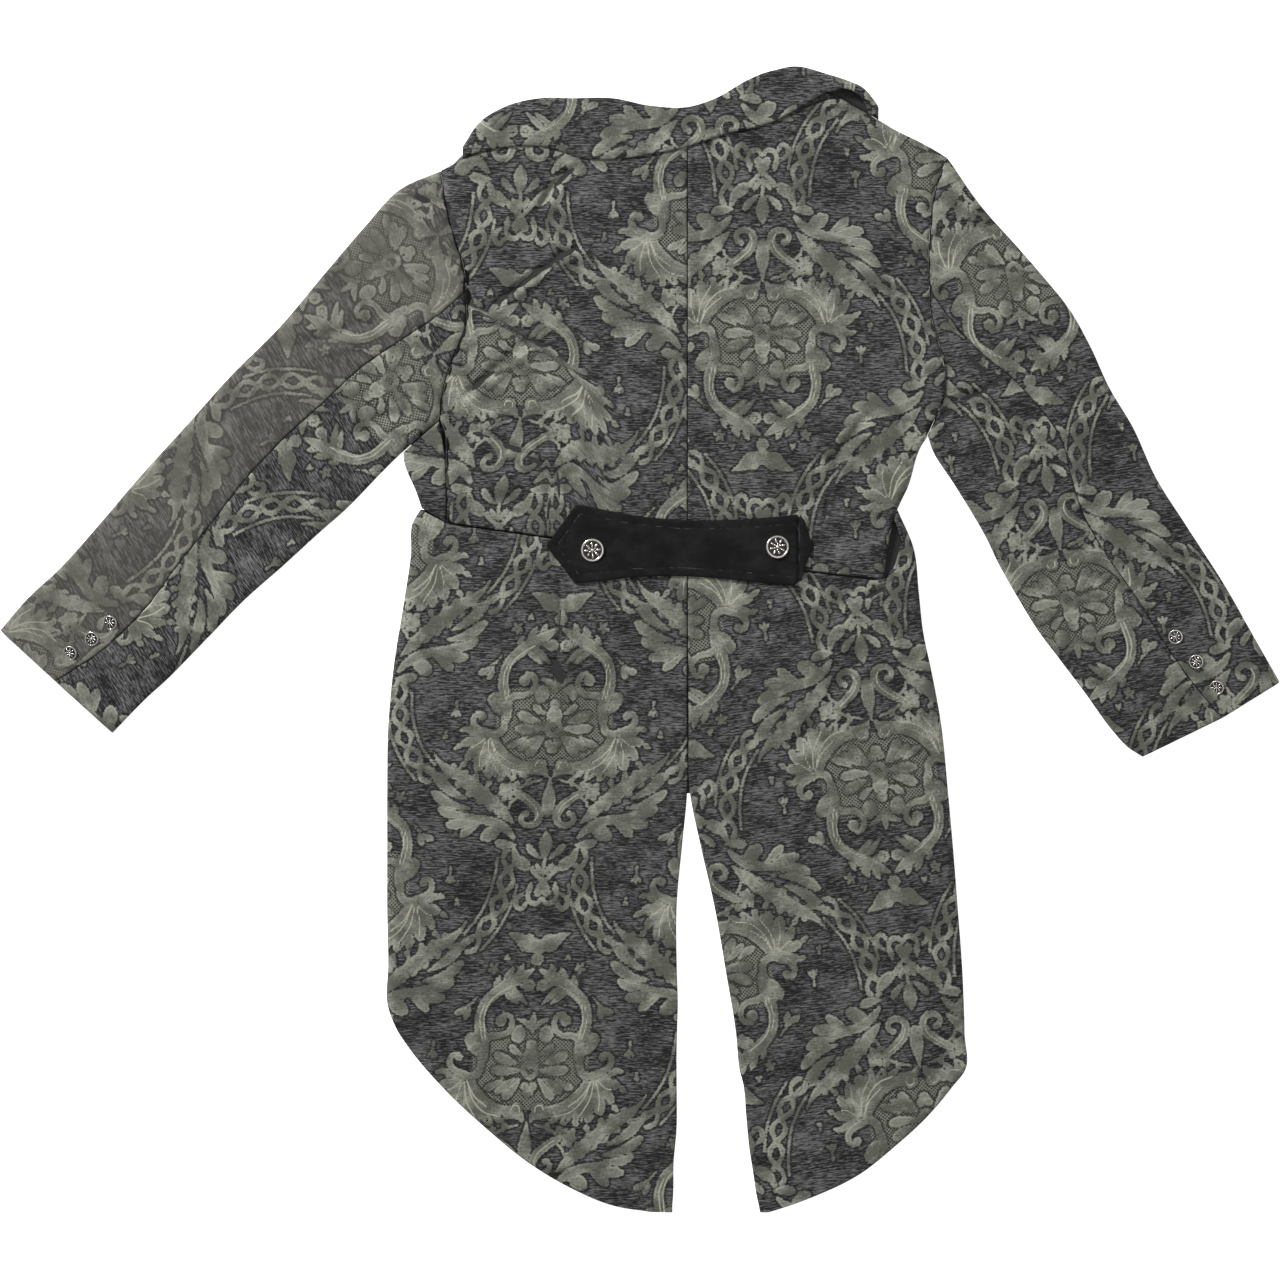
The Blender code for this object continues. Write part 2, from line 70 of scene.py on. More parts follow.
def node(tree, kind, inputs=(), out=0, **settings):
    """A shader node with its settings, and its inputs set or linked; gives one of its outputs."""
    made = tree.nodes.new("ShaderNode" + kind)
    for name, value in settings.items():
        setattr(made, name, value)
    for key, value in inputs.items() if isinstance(inputs, dict) else enumerate(inputs):
        if isinstance(value, bpy.types.NodeSocket):
            tree.links.new(value, made.inputs[key])
        else:
            made.inputs[key].default_value = value
    return made.outputs[out] if made.outputs else made


def new_material(name):
    """An empty node material and its tree."""
    material = bpy.data.materials.new(name)
    material.use_nodes = True
    material.node_tree.nodes.clear()
    return material, material.node_tree


bpy.ops.object.select_all(action="DESELECT")
bpy.ops.mesh.primitive_plane_add(size=12.0, location=(0, 0, -FLOOR_DROP * MM))
floor = bpy.context.active_object
floor.name = "studio_floor"
floor_paint, tree = new_material("matt_white_backdrop")
paper = node(tree, "BsdfPrincipled", {"Base Color": linear("#f7f7f7"), "Roughness": 0.9,
                                      "Emission Color": linear("#ffffff"), "Emission Strength": 0.75})
node(tree, "OutputMaterial", [paper])
floor.data.materials.append(floor_paint)

# Black cards under the coat keep the table's light from shining up through its seams; their black is
# painted shade, standing in for the shade in the seams and gaps, at the hip and round the collar
shade_card_paint, tree = new_material("black_card_painted_shade")
paper = node(tree, "BsdfPrincipled", {"Base Color": linear("#1c1c1c"), "Roughness": 0.9})
node(tree, "OutputMaterial", [paper])
for k, (name, left, right, low, high) in enumerate((
    ("body_card", -200, 224, -142, 420), ("shoulder_card", 224, 290, 205, 436),
    ("hip_card", 224, 243, 44, 108),
    ("collar_card_1", 165, 205, 485, 508), ("collar_card_2", 176, 199, 500, 511.5),
    ("collar_card_3", 200, 212, 484, 502), ("collar_card_4", 208, 215.5, 485.5, 493),
    ("armpit_card", -212, -183, 178, 206), ("hip_card_2", 232, 239, 104, 113),
    ("neck_card", -168, 224, 418, 436), ("nape_card", 20, 70, 434, 458),
)):
    bpy.ops.object.select_all(action="DESELECT")
    bpy.ops.mesh.primitive_plane_add(size=1.0)
    card = bpy.context.active_object
    card.name = name
    middle = ((left + right) / 2 * MM, (low + high) / 2 * MM, -(CARD_DROP + CARD_STEP * k) * MM)
    card.data.transform(Matrix.LocRotScale(middle, None, ((right - left) * MM, (high - low) * MM, 1)))
    card.data.materials.append(shade_card_paint)

world = bpy.data.worlds.new("soft_white_room")
world.use_nodes = True
world.node_tree.nodes["Background"].inputs["Color"].default_value = (1.0, 1.0, 1.0, 1.0)
world.node_tree.nodes["Background"].inputs["Strength"].default_value = 0.42
bpy.context.scene.world = world
bpy.context.scene.view_settings.view_transform = "Standard"


def lamp(name, place, size, power):
    """A round soft lamp that shines on the middle of the coat."""
    light = bpy.data.lights.new(name, "AREA")
    light.shape = "DISK"
    light.size = size
    light.energy = power
    item = bpy.data.objects.new(name, light)
    item.location = place
    direction = -np.array(place)
    item.rotation_euler = (
        math.acos(-direction[2] / np.linalg.norm(direction)), 0.0,
        math.atan2(direction[1], direction[0]) - math.pi / 2,
    )
    bpy.context.scene.collection.objects.link(item)


lamp("key_lamp", (-2.1, 2.5, 2.2), 0.9, 178.0)
lamp("top_lamp", (0.6, -0.4, 3.6), 2.6, 14.0)


# ---------------------------------------------------------------------------------------------
# Figured cloth: a heavy chenille jacquard.  The weaver's design is a medallion of scrolls, acanthus
# and a flower, with a crown, leaf sprays and braided bands between it and its half-drop neighbour.
# It is drawn once on a fine point paper in millimetres, then read wherever the cloth goes.
# ---------------------------------------------------------------------------------------------

COLUMN = 177.0          # from one axis of the design to the next
REPEAT = 324.0          # along the cloth; the next column is dropped by half of it
POINT = 0.5             # size of a square of the point paper
REACH = 212.0           # how far up and down the paper goes from the medallion's middle
FAR = 9.0               # a distance that counts as far from any shape

paper_x = np.arange(-16.0, COLUMN + 14.0, POINT)
paper_y = np.arange(-REACH, REACH, POINT)
figure = np.full((len(paper_y), len(paper_x)), FAR)
vein = np.full_like(figure, FAR)
hatch = np.full_like(figure, FAR)


def smooth_read(knots, values, at):
    """Values on a smooth curve through rows of values at their knots."""
    knots, values, at = (np.asarray(a, dtype=float) for a in (knots, values, at))
    gaps = np.diff(knots)
    shape = (-1,) + (1,) * (values.ndim - 1)
    slopes = np.diff(values, axis=0) / gaps.reshape(shape)
    tangents = np.empty_like(values)
    tangents[0], tangents[-1] = slopes[0], slopes[-1]
    before, after = gaps[:-1].reshape(shape), gaps[1:].reshape(shape)
    tangents[1:-1] = (before * slopes[1:] + after * slopes[:-1]) / (before + after)
    cell = np.clip(np.searchsorted(knots, at, side="right") - 1, 0, len(knots) - 2)
    gap = gaps[cell].reshape(shape)
    t = ((at - knots[cell]) / gaps[cell]).reshape(shape)
    return (
        (2 * t**3 - 3 * t**2 + 1) * values[cell] + (t**3 - 2 * t**2 + t) * gap * tangents[cell]
        + (3 * t**2 - 2 * t**3) * values[cell + 1] + (t**3 - t**2) * gap * tangents[cell + 1]
    )


def walked_along(points):
    """How far along a path each of its points lies."""
    return np.concatenate([[0], np.cumsum(np.hypot(*np.diff(points, axis=0).T))])


def smooth_path(points, steps):
    """A smooth path through points, by even steps along it; extra columns ride along."""
    points = np.asarray(points, dtype=float)
    if len(points) == 2:
        return points[0] + (points[1] - points[0]) * np.linspace(0, 1, steps + 1)[:, None]
    knots = walked_along(points[:, :2])
    return smooth_read(knots, points, np.linspace(0, knots[-1], steps + 1))


def window(low, high, margin):
    """The squares of the paper between two corners."""
    slices = []
    for a, b, line in zip(low, high, (paper_x, paper_y)):
        first = int(np.clip((a - margin - line[0]) / POINT, 0, len(line)))
        last = int(np.clip((b + margin - line[0]) / POINT + 1, 0, len(line)))
        slices.append(slice(first, last))
    return slices[1], slices[0]


def lay_on(field, rows, columns, shape, moat):
    """Adds a shape to a field, with a dark moat round it over what lies beneath."""
    if shape.size:
        field[rows, columns] = np.minimum(np.maximum(field[rows, columns], moat - shape), shape)


def stroke(points, moat=1.0, steps=18, field=None, cut=False):
    """A stroke through x, y, half width points, and its mirror image; cut takes it away instead."""
    field = figure if field is None else field
    for side in (-1, 1):
        path = smooth_path([(side * x, y, w) for x, y, w in points], steps)
        rows, columns = window(path[:, :2].min(0), path[:, :2].max(0), path[:, 2].max() + FAR)
        x, y = np.meshgrid(paper_x[columns], paper_y[rows])
        best = np.full(x.shape, FAR)
        for (ax, ay, aw), (bx, by, bw) in zip(path, path[1:]):
            dx, dy = bx - ax, by - ay
            t = np.clip(((x - ax) * dx + (y - ay) * dy) / max(dx * dx + dy * dy, 1e-9), 0, 1)
            best = np.minimum(best, np.hypot(x - ax - t * dx, y - ay - t * dy) - aw - t * (bw - aw))
        if cut:
            field[rows, columns] = np.maximum(field[rows, columns], -best)
        else:
            lay_on(field, rows, columns, best, moat)


def leaf(base, tip, half_width, bend=0.0, moat=1.0, blunt=True):
    """A leaf from base to tip, bent sideways; a blunt one is widest near its round end."""
    (x0, y0), (x1, y1) = base, tip
    along = np.linspace(0, 1, 8)
    swell = along**0.6 * np.sqrt(1 - 0.8 * along**5) if blunt else np.sin(np.pi * along**0.8) ** 0.8
    side = bend * np.sin(np.pi * along)
    length = math.hypot(x1 - x0, y1 - y0)
    nx, ny = -(y1 - y0) / length, (x1 - x0) / length
    end = max(0.0, 1 - half_width / length) if blunt else 1.0
    stroke([(x0 + (x1 - x0) * t * end + nx * s, y0 + (y1 - y0) * t * end + ny * s, max(half_width * w, 0.35))
            for t, w, s in zip(along, swell, side)], moat, steps=10)


def disc(x, y, radius, moat=1.0, stretch=(1.0, 1.0), hole=None):
    """A round or oval spot and its mirror image, or a ring when it has a hole."""
    for side in (-1, 1):
        rows, columns = window((side * x, y), (side * x, y), radius * max(stretch) + FAR)
        gx, gy = np.meshgrid(paper_x[columns], paper_y[rows])
        away = np.hypot((gx - side * x) / stretch[0], (gy - y) / stretch[1])
        middle = (radius + (hole or 0)) / 2
        shape = away - radius if hole is None else np.abs(away - middle) - (radius - hole) / 2
        lay_on(figure, rows, columns, shape, moat)


def fine_line(points):
    """A thin pale line in the face of the figure."""
    stroke([(x, y, 0.15) for x, y in points], 0.0, field=vein)


# Braided band that comes down from the spray: two strands that cross, between two thin rails
BRAID = 22.0            # from one crossing to the next but one
route = smooth_path([(68, -105), (58, -116), (48.5, -129), (40, -146), (35, -164), (32.5, -182),
                     (32, -198)], 40)
ahead = np.gradient(route, axis=0)
normal = np.column_stack([-ahead[:, 1], ahead[:, 0]]) / np.hypot(*ahead.T)[:, None]
walked = walked_along(route)
for rail, first, last in ((11.5, 4, 40), (-11.0, 4, 30)):
    line = route + normal * rail
    stroke([(x, y, 0.9) for x, y in line[first:last:3]], 0.5, steps=30)
for sign in (1, -1):
    sway = sign * 6.2 * np.sin(walked * math.pi / BRAID + 0.5)
    strand = route + normal * sway[:, None]
    stroke([(x, y, 1.9 + 0.4 * math.sin(k)) for k, (x, y) in enumerate(strand)],
           0.8 if sign > 0 else 0.0, steps=60)
for turn in (1, 2, 3, 4):
    spot = route[int(np.argmin(np.abs(walked - (turn * BRAID - 3.5))))]
    leaf(spot, spot + np.array([6.5, 6.0 - 3 * turn % 4]), 2.6, moat=0.0)
    disc(spot[0], spot[1], 3.2, moat=0.0)

# Leaf spray: round-ended leaves on a dark stem, with long lobed leaves beneath that reach the braid
for base, tip, width, bend in (
    ((27, 121), (50, 118), 5.6, 1), ((40, 98), (63, 119), 8.4, 1), ((58, 95), (82, 115), 5.8, -1),
    ((62, 93), (97, 103), 6.6, 2), ((74, 90), (105, 85), 6.2, 3),
):
    leaf(base, tip, width, bend)
stroke([(30, 114, 1.6), (38, 105, 4.0), (50, 98.5, 4.4), (64, 95.5, 3.6), (78, 92.5, 2.4)], 0.0)
stroke([(30, 108, 0.7), (42, 96, 0.9), (58, 91, 0.9), (75, 88.5, 0.8), (96, 81, 0.6)], cut=True)
leaf((72, 85), (112, 67), 6.2, 4)
leaf((76, 76), (110, 49), 6.4, 3)
stroke([(31, 100, 0.6), (37, 94, 3.4), (46, 85, 5.6), (55, 77, 6.2), (64, 69.5, 6.6), (74, 61, 6.4),
        (84, 53, 5.8), (94, 47, 4.2), (104, 38, 1.6), (109, 30, 0.4)], 1.1, steps=30)
for x, y, width in ((43, 91, 3.2), (53, 84, 3.6), (63, 77, 3.8), (73, 70, 3.8), (84, 61, 3.4), (96, 53, 3.0),
                    (40, 85, 2.4), (49, 76, 3.0), (59, 67, 3.2), (69, 58, 3.2), (79, 50, 3.0), (90, 43, 2.6)):
    disc(x, y, width, moat=0.0)
leaf((98, 52), (120, 44), 3.4, 2)
for points in (((50, 88), (58, 79)), ((60, 80), (68, 71)), ((71, 72), (79, 63)), ((82, 63), (89, 55))):
    stroke([(x, y, w) for (x, y), w in zip(points, (0.7, 0.15))], cut=True, steps=3)

# Crown of leaves over the spade, and the bud above it
leaf((13, 144), (30, 129), 5.4, 1, blunt=False)
leaf((4, 134), (19, 119), 4.0, 1)
leaf((2, 156), (14, 140), 4.0, -1)
leaf((3, 150), (8, 137), 2.6, 0)
disc(0, 145, 4.2, moat=0.0)
stroke([(0, 143, 1.4), (0, 134, 1.4), (0, 127, 4.0), (0, 119, 6.0), (0, 113, 3.4), (0, 108, 0.4)])
stroke([(4.0, 166, 3.4), (2.0, 161, 3.6), (0.5, 156, 1.8), (0, 151, 0.4)])
stroke([(0, -153, 1.4), (5, -148, 2.1), (10, -149, 2.1), (13.5, -155, 1.7), (12, -162, 2.4), (11, -168, 0.4)])
stroke([(15, -147, 1.9), (19, -143, 1.8), (23.5, -146, 2.1), (23.5, -152, 2.2), (18, -157, 1.2)])

# Fleur over the medallion: a middle leaf between two volutes, whose arms end in knobs
stroke([(31, 69, 3.2), (24, 73.5, 3.6), (17, 79, 3.9), (11, 85, 3.9), (8, 92, 3.4), (9.5, 98.5, 3.0),
        (15, 102, 2.8), (21, 101, 2.4), (24.5, 96, 2.1), (22.5, 91, 2.2)], steps=30)
disc(20, 90.5, 2.8, moat=0.0)
fine_line([(27, 71), (19, 77), (12, 84), (9.5, 92), (12, 98)])
disc(38.5, 69, 4.4)
for x, y, radius in ((44, 70, 2.8), (41, 75, 2.6), (36, 62.5, 2.6), (42, 64, 2.8), (36, 74, 2.2)):
    disc(x, y, radius, moat=0.0)
stroke([(30, 75, 0.8), (34, 78, 1.1), (36.5, 85, 0.5)], 0.0)
stroke([(28, 65, 1.0), (19, 60, 1.1), (8, 57, 0.6)], 0.0)
stroke([(0, 90, 3.4), (0, 85, 5.0), (0, 77, 5.8), (0, 68, 3.8), (0, 60, 1.7), (0, 54, 0.4)])

# Medallion: a netted field under an arch of acanthus
gx, gy = np.meshgrid(paper_x, paper_y)
dome = np.hypot(gx / 54.0, (gy + 4) / 47.0)
hatch[:] = np.where(gy > -33, (dome - 1.0) * 46.0, FAR)
for tip, width in (((20, 57), 5.0), ((31, 60), 6.4), ((44, 62), 7.4), ((57, 59), 7.6), ((70, 52), 7.8),
                   ((82, 40), 7.6), ((88, 22), 6.4), ((84, 5), 4.8)):
    root = (34, 40) if tip[0] < 25 else (58, 15)
    leaf(root, tip, width, moat=0.0)
    stroke([(tip[0] * 0.985, tip[1] * 0.98 + 2, 2.6), (tip[0] * 1.03, tip[1] * 1.05 + 3, 0.6)], 0.0, steps=3)
stroke([(57, 13, 4.5), (53, 24, 6.4), (45, 34, 6.8), (36, 40.5, 6.4), (25, 44.5, 5.8), (13, 46, 5.2),
        (6, 49, 3.4), (3.5, 54, 0.8)], 0.0, steps=26)
disc(10, 42, 5.6, moat=0.0)
for points in (((36, 53), (38, 46)), ((49, 54), (50, 45)), ((62, 47), (60, 39)), ((74, 37), (69, 31)),
               ((80, 25), (74, 22)), ((22, 50), (25, 46))):
    stroke([(x, y, w) for (x, y), w in zip(points, (1.3, 0.2))], cut=True, steps=3)
for points in (((60, 17), (57, 34), (48, 50)), ((62, 18), (66, 32), (66, 44)), ((58, 15), (50, 30), (38, 40)),
               ((63, 16), (74, 24), (80, 24)), ((57, 17), (52, 32), (40, 45), (26, 49))):
    fine_line(points)
fine_line([(7, 45), (8, 40), (13, 39), (15, 43)])
stroke([(46, -8, 3.2), (45.5, 2, 3.0), (49, 10, 3.4), (56, 12, 3.4), (62, 9.5, 3.3), (70, 6, 2.8),
        (75, -1, 2.5), (72, -8, 2.2), (67, -8, 2.4)], steps=30)
disc(66.5, -5.5, 3.3, moat=0.0)

# Flower in the medallion
for base, tip, width, bend in (
    ((8, 14), (25, 36), 6.2, -1), ((12, 14), (33, 29), 4.6, -1), ((24, 14), (43, 25), 4.4, 1),
    ((8, 6), (39, 6), 6.0, 1), ((12, 0), (37, -10), 6.0, 1), ((8, -8), (22, -18), 4.2, 1),
):
    leaf(base, tip, width, bend)
disc(0, 26, 4.8)
disc(3.4, 21.5, 3.9, moat=0.0)
stroke([(0, 20, 1.0), (0, 16, 0.3)], cut=True, steps=3)
stroke([(0, 0, 5.0), (0, -5, 7.0), (0, -11, 4.6), (0, -15, 2.0)])
disc(0, 6, 7.8, hole=4.2, stretch=(1.0, 1.15))
disc(0, -17, 4.7, hole=1.8)
disc(12.9, -27, 7.4, stretch=(0.86, 1.06))
stroke([(2, -33, 1.7), (7, -38, 2.3), (14, -41, 0.7)])
stroke([(0, -29, 1.0), (0, -36, 2.5), (0, -42, 2.3), (0, -47, 0.5)], moat=0.0)

# Scrolls that close the medallion beneath, with their leafy fringe
for base, tip, width in (
    ((30, -69), (15, -55), 3.2), ((25, -72), (7, -55), 2.8), ((18, -77), (2, -67), 3.2),
    ((28, -75), (22, -89), 3.4), ((37, -69), (34, -81), 2.8), ((17, -81), (13, -92), 2.8),
):
    leaf(base, tip, width, blunt=False)
leaf((47, -8), (60, -27), 6.2, 2)
disc(56, -22, 6.2, moat=0.0)
stroke([(43.5, -5, 3.4), (44.5, -16, 4.6), (47, -26, 5.2), (49.5, -36, 4.4), (49, -46, 4.2), (45, -57, 4.4),
        (36, -66, 5.0), (25, -74, 5.4), (14, -80, 4.6), (3, -87, 1.2)], steps=36)
fine_line([(46, -22), (48.5, -33), (49.5, -44), (46, -55)])
fine_line([(43, -22), (45, -34), (45.5, -46), (41, -58), (32, -66), (22, -72)])
disc(6.5, -72, 5.2, hole=2.8)
stroke([(44, -22, 3.4), (37, -25.5, 2.9), (29, -26, 2.5), (22, -30, 2.3), (19.5, -37, 2.2), (22, -44, 2.1),
        (28, -46, 1.9)], steps=26)
disc(30, -39.5, 4.9, moat=0.8)

# Below the medallion: a ball over a spreading cap
disc(0, -96.5, 5.6)
disc(0, -103, 3.4, moat=0.0)
disc(10, -111.5, 8.6, stretch=(1.0, 0.95))
disc(3, -109, 6.0, moat=0.0)
stroke([(14, -113, 6.0), (20, -117, 3.6), (28, -120.5, 0.7)], 0.0)
stroke([(0, -121.5, 6.4), (0, -124, 6.4)], cut=True, steps=2)

# Sprigs strewn on the ground
leaf((53, -62), (66, -50), 1.2, 1)
leaf((61, -53), (75, -45), 3.8, 1)
leaf((60, -53), (64, -39), 3.2, 1)
for x, y, reach, turns in ((40, -88, 6.5, (20, 95, 160, 230, 300)), (91, -13, 9.0, (60, 90, 120, 270)),
                           (28, -98, 4.0, (30, 150, 270)), (100, 12, 5.0, (80, 130, 250))):
    for angle in turns:
        turn = math.radians(angle)
        leaf((x, y), (x + reach * math.cos(turn), y + reach * math.sin(turn)), 1.5, moat=0.3)

# The second column is the first one mirrored and dropped by half a repeat
cell_x = np.arange(0.0, COLUMN + POINT, POINT)
cell_y = np.arange(0.0, REPEAT, POINT)


def from_paper(field, x, y):
    """The field read at any places on the point paper, far outside where the paper ends."""
    i = np.clip((x - paper_x[0]) / POINT, 0, len(paper_x) - 1.001)
    j = (y - paper_y[0]) / POINT
    inside = (j >= 0) & (j < len(paper_y) - 1.001)
    j = np.clip(j, 0, len(paper_y) - 1.001)
    i0, j0 = i.astype(int), j.astype(int)
    s, t = i - i0, j - j0
    low = field[j0, i0] * (1 - s) + field[j0, i0 + 1] * s
    high = field[j0 + 1, i0] * (1 - s) + field[j0 + 1, i0 + 1] * s
    return np.where(inside, low * (1 - t) + high * t, FAR)


cx, cy = np.meshgrid(cell_x, cell_y)
design = {}
for name, field in (("figure", figure), ("vein", vein), ("hatch", hatch)):
    whole = np.full(cx.shape, FAR)
    for drop in (-REPEAT, 0.0, REPEAT):
        own = from_paper(field, cx, cy + drop)
        other = from_paper(field, COLUMN - cx, cy + drop - REPEAT / 2)
        if name == "figure":
            for part in (own, other):
                whole = np.minimum(np.maximum(whole, 0.9 - part), part)
        else:
            whole = np.minimum(whole, np.minimum(own, other))
    design[name] = whole


def read_design(name, u, v):
    """A field of the design at places on the cloth, in millimetres from a medallion's middle."""
    x = np.abs((u + COLUMN) % (2 * COLUMN) - COLUMN)
    i = np.clip(x / POINT, 0, len(cell_x) - 1.001)
    j = (v % REPEAT) / POINT
    i0, j0 = i.astype(int), j.astype(int) % len(cell_y)
    s, t = i - i0, j - np.floor(j)
    field, j1 = design[name], (j0 + 1) % len(cell_y)
    low = field[j0, i0] * (1 - s) + field[j0, i0 + 1] * s
    high = field[j1, i0] * (1 - s) + field[j1, i0 + 1] * s
    return low * (1 - t) + high * t


# The cloth's face as it is seen: soft chenille weft over a dark warp, so the ground breaks up into
# streaks that run across the cloth, and a tighter, paler sage face where the design is woven.
# Wool and viscose pile give it next to no shine.

NETTING = 3.4           # the lattice inside the medallion, drawn as coarse as it needs to show
SOFTLY = {"interpolation_type": "SMOOTHSTEP"}
COLOURS = {"out": 2, "data_type": "RGBA"}
jacquard, tree = new_material("woven_chenille_jacquard")
place = node(tree, "Attribute", out="Vector", attribute_name="cloth")
drawn = node(tree, "Attribute", out="Vector", attribute_name="drawn")
to_figure = node(tree, "SeparateXYZ", [drawn], out=0)
to_vein = node(tree, "SeparateXYZ", [drawn], out=1)
to_hatch = node(tree, "SeparateXYZ", [drawn], out=2)

# Grains: how many millimetres each runs across the cloth and along it
grain = {}
for name, across, along, detail, roughness in (
    ("edge", 3.4, 2.0, 3.0, 0.65), ("streak", 11.0, 1.35, 3.0, 0.6), ("dash", 4.5, 1.1, 2.0, 0.6),
    ("cloud", 45.0, 22.0, 3.0, 0.55), ("nap", 2.4, 2.6, 2.0, 0.7), ("patch", 26.0, 22.0, 2.0, 0.5),
):
    stretched = node(tree, "Mapping", {"Vector": place, "Scale": (1 / across, 1 / along, 1.0)})
    grain[name] = node(tree, "TexNoise", {"Vector": stretched, "Scale": 1.0, "Detail": detail,
                                          "Roughness": roughness})

wander = node(tree, "Math", (grain["edge"], 5.0, -3.0), operation="MULTIPLY_ADD")
away = node(tree, "Math", (to_figure, wander), operation="ADD")
is_figure = node(tree, "MapRange", (away, -0.3, 0.25, 1.0, 0.0), **SOFTLY)

# Ground: mid grey weft, with dark streaks where the warp shows and pale ones where the pile stands
tone = node(tree, "Math", (grain["dash"], 0.7, grain["streak"]), operation="MULTIPLY_ADD")
tone = node(tree, "Math", (grain["cloud"], 0.5, tone), operation="MULTIPLY_ADD")
dark_streak = node(tree, "MapRange", (tone, 1.00, 1.14, 1.0, 0.0), **SOFTLY)
pale_streak = node(tree, "MapRange", (tone, 1.13, 1.30, 0.0, 1.0), **SOFTLY)
ground = node(tree, "Mix", {0: dark_streak, 6: linear("#494949"), 7: linear("#1f1f1f")}, **COLOURS)
ground = node(tree, "Mix", {0: pale_streak, 6: ground, 7: linear("#6b6b6b")}, **COLOURS)

# Figure: grey sage, clouded from leaf to leaf, flecked by its cut pile and crossed by a few streaks
face = node(tree, "Math", (grain["nap"], 0.55, grain["patch"]), operation="MULTIPLY_ADD")
paler = node(tree, "MapRange", (face, 0.60, 0.98, 0.0, 1.0), **SOFTLY)
sage = node(tree, "Mix", {0: paler, 6: linear("#54564e"), 7: linear("#808177")}, **COLOURS)
crossing = node(tree, "MapRange", (grain["streak"], 0.34, 0.46, 0.55, 0.0), **SOFTLY)
sage = node(tree, "Mix", {0: crossing, 6: sage, 7: linear("#3d3e3a")}, **COLOURS)

# Netting inside the medallion
u = node(tree, "SeparateXYZ", [place], out=0)
v = node(tree, "SeparateXYZ", [place], out=1)
rising = node(tree, "Math", (u, v), operation="ADD")
falling = node(tree, "Math", (u, v), operation="SUBTRACT")
threads = []
for slope in (rising, falling):
    turned = node(tree, "Math", (slope, 2 * math.pi / NETTING), operation="MULTIPLY")
    threads.append(node(tree, "Math", [turned], operation="SINE"))
lattice = node(tree, "Math", threads, operation="MAXIMUM")
lattice = node(tree, "MapRange", (lattice, 0.25, 0.85, 0.0, 0.9), **SOFTLY)
netted = node(tree, "MapRange", (to_hatch, -1.0, 0.6, 1.0, 0.0), **SOFTLY)
behind = node(tree, "Math", (netted, 0.7), operation="MULTIPLY")
ground = node(tree, "Mix", {0: behind, 6: ground, 7: linear("#2f2f2c")}, **COLOURS)
netting = node(tree, "Math", (lattice, netted), operation="MULTIPLY")
ground = node(tree, "Mix", {0: netting, 6: ground, 7: linear("#7d7e73")}, **COLOURS)

# Dark outline beside a shape, partly woven and partly painted shade where the raised figure's edge
# shades the ground; a painted highlight along the rim inside it; and fine ribs
beside = node(tree, "Math", (away, 0.9), operation="SUBTRACT")
beside = node(tree, "Math", [beside], operation="ABSOLUTE")
# Painted shade: the outline darkens the ground just beside each raised shape
outline = node(tree, "MapRange", (beside, 0.3, 1.5, 0.8, 0.0), **SOFTLY)
broken = node(tree, "MapRange", (grain["cloud"], 0.35, 0.6, 0.45, 1.0), **SOFTLY)
outline = node(tree, "Math", (outline, broken), operation="MULTIPLY")
ground = node(tree, "Mix", {0: outline, 6: ground, 7: linear("#191919")}, **COLOURS)
colour = node(tree, "Mix", {0: is_figure, 6: ground, 7: sage}, **COLOURS)
# Painted highlight: a pale rim just inside each shape, where its raised edge would catch the light
within = node(tree, "Math", (away, 1.3), operation="ADD")
within = node(tree, "Math", [within], operation="ABSOLUTE")
painted_rim_highlight = node(tree, "MapRange", (within, 0.2, 0.9, 1.0, 0.0), **SOFTLY)
lit = node(tree, "MapRange", (grain["patch"], 0.45, 0.65, 0.0, 0.5), **SOFTLY)
painted_rim_highlight = node(tree, "Math", (painted_rim_highlight, lit), operation="MULTIPLY")
colour = node(tree, "Mix", {0: painted_rim_highlight, 6: colour, 7: linear("#a5a599")}, **COLOURS)
rib = node(tree, "MapRange", (to_vein, 0.1, 0.8, 0.75, 0.0), **SOFTLY)
rib = node(tree, "Math", (rib, is_figure), operation="MULTIPLY")
colour = node(tree, "Mix", {0: rib, 6: colour, 7: linear("#b3b1a0")}, **COLOURS)

# Pile that lies the other way: the design is muted towards a brownish mid tone, a painted sheen
# that stands in for the light the turned pile catches
turned = node(tree, "SeparateXYZ", [place], out=2)
colour = node(tree, "Mix", {0: turned, 6: colour, 7: linear("#5a5852")}, **COLOURS)

pile = node(tree, "Math", (tone, 0.8), operation="MULTIPLY")
pile = node(tree, "Math", (is_figure, 0.7, pile), operation="MULTIPLY_ADD")
pile = node(tree, "Math", (grain["nap"], 0.35, pile), operation="MULTIPLY_ADD")
relief = node(tree, "Bump", {"Strength": 0.7, "Distance": 0.0008, "Height": pile})
cloth = node(tree, "BsdfPrincipled", {"Base Color": colour, "Roughness": 0.85, "Normal": relief,
                                      "Specular IOR Level": 0.12, "Sheen Weight": 0.04,
                                      "Sheen Roughness": 0.5})
node(tree, "OutputMaterial", [cloth])


# ---------------------------------------------------------------------------------------------
# How the coat lies: its fronts are face down on the surface, and its backs and skirts lie on them
# in one upper layer, which rolls over at the sides.  Creases are soft troughs and ridges in it.
# ---------------------------------------------------------------------------------------------

CLOTH = 2.0             # shell cloth with the interlining pressed to it
UPPER = 8.0             # height of the upper layer's face where two layers lie
SINGLE = 2.6            # and where one lies
LEVEL = 25.0            # how far past the hidden edge beneath the upper layer stays up
DESCENT = 50.0          # how far it then takes to come down
SEAM = 0.5              # gap between two pieces along a seam
THREAD_STEP = 1.5       # spacing of the fine mesh

# Front edges of the hidden under layer of the skirts: y, left x, right x
CUTAWAY = ((-600, -494, 501), (-400, -294, 301), (-339, -233, 255), (-241, -203, 206), (-148, -157, 157),
           (-56, -101, 101), (20, -50, 50), (77, -13, 13), (600, -13, 13))

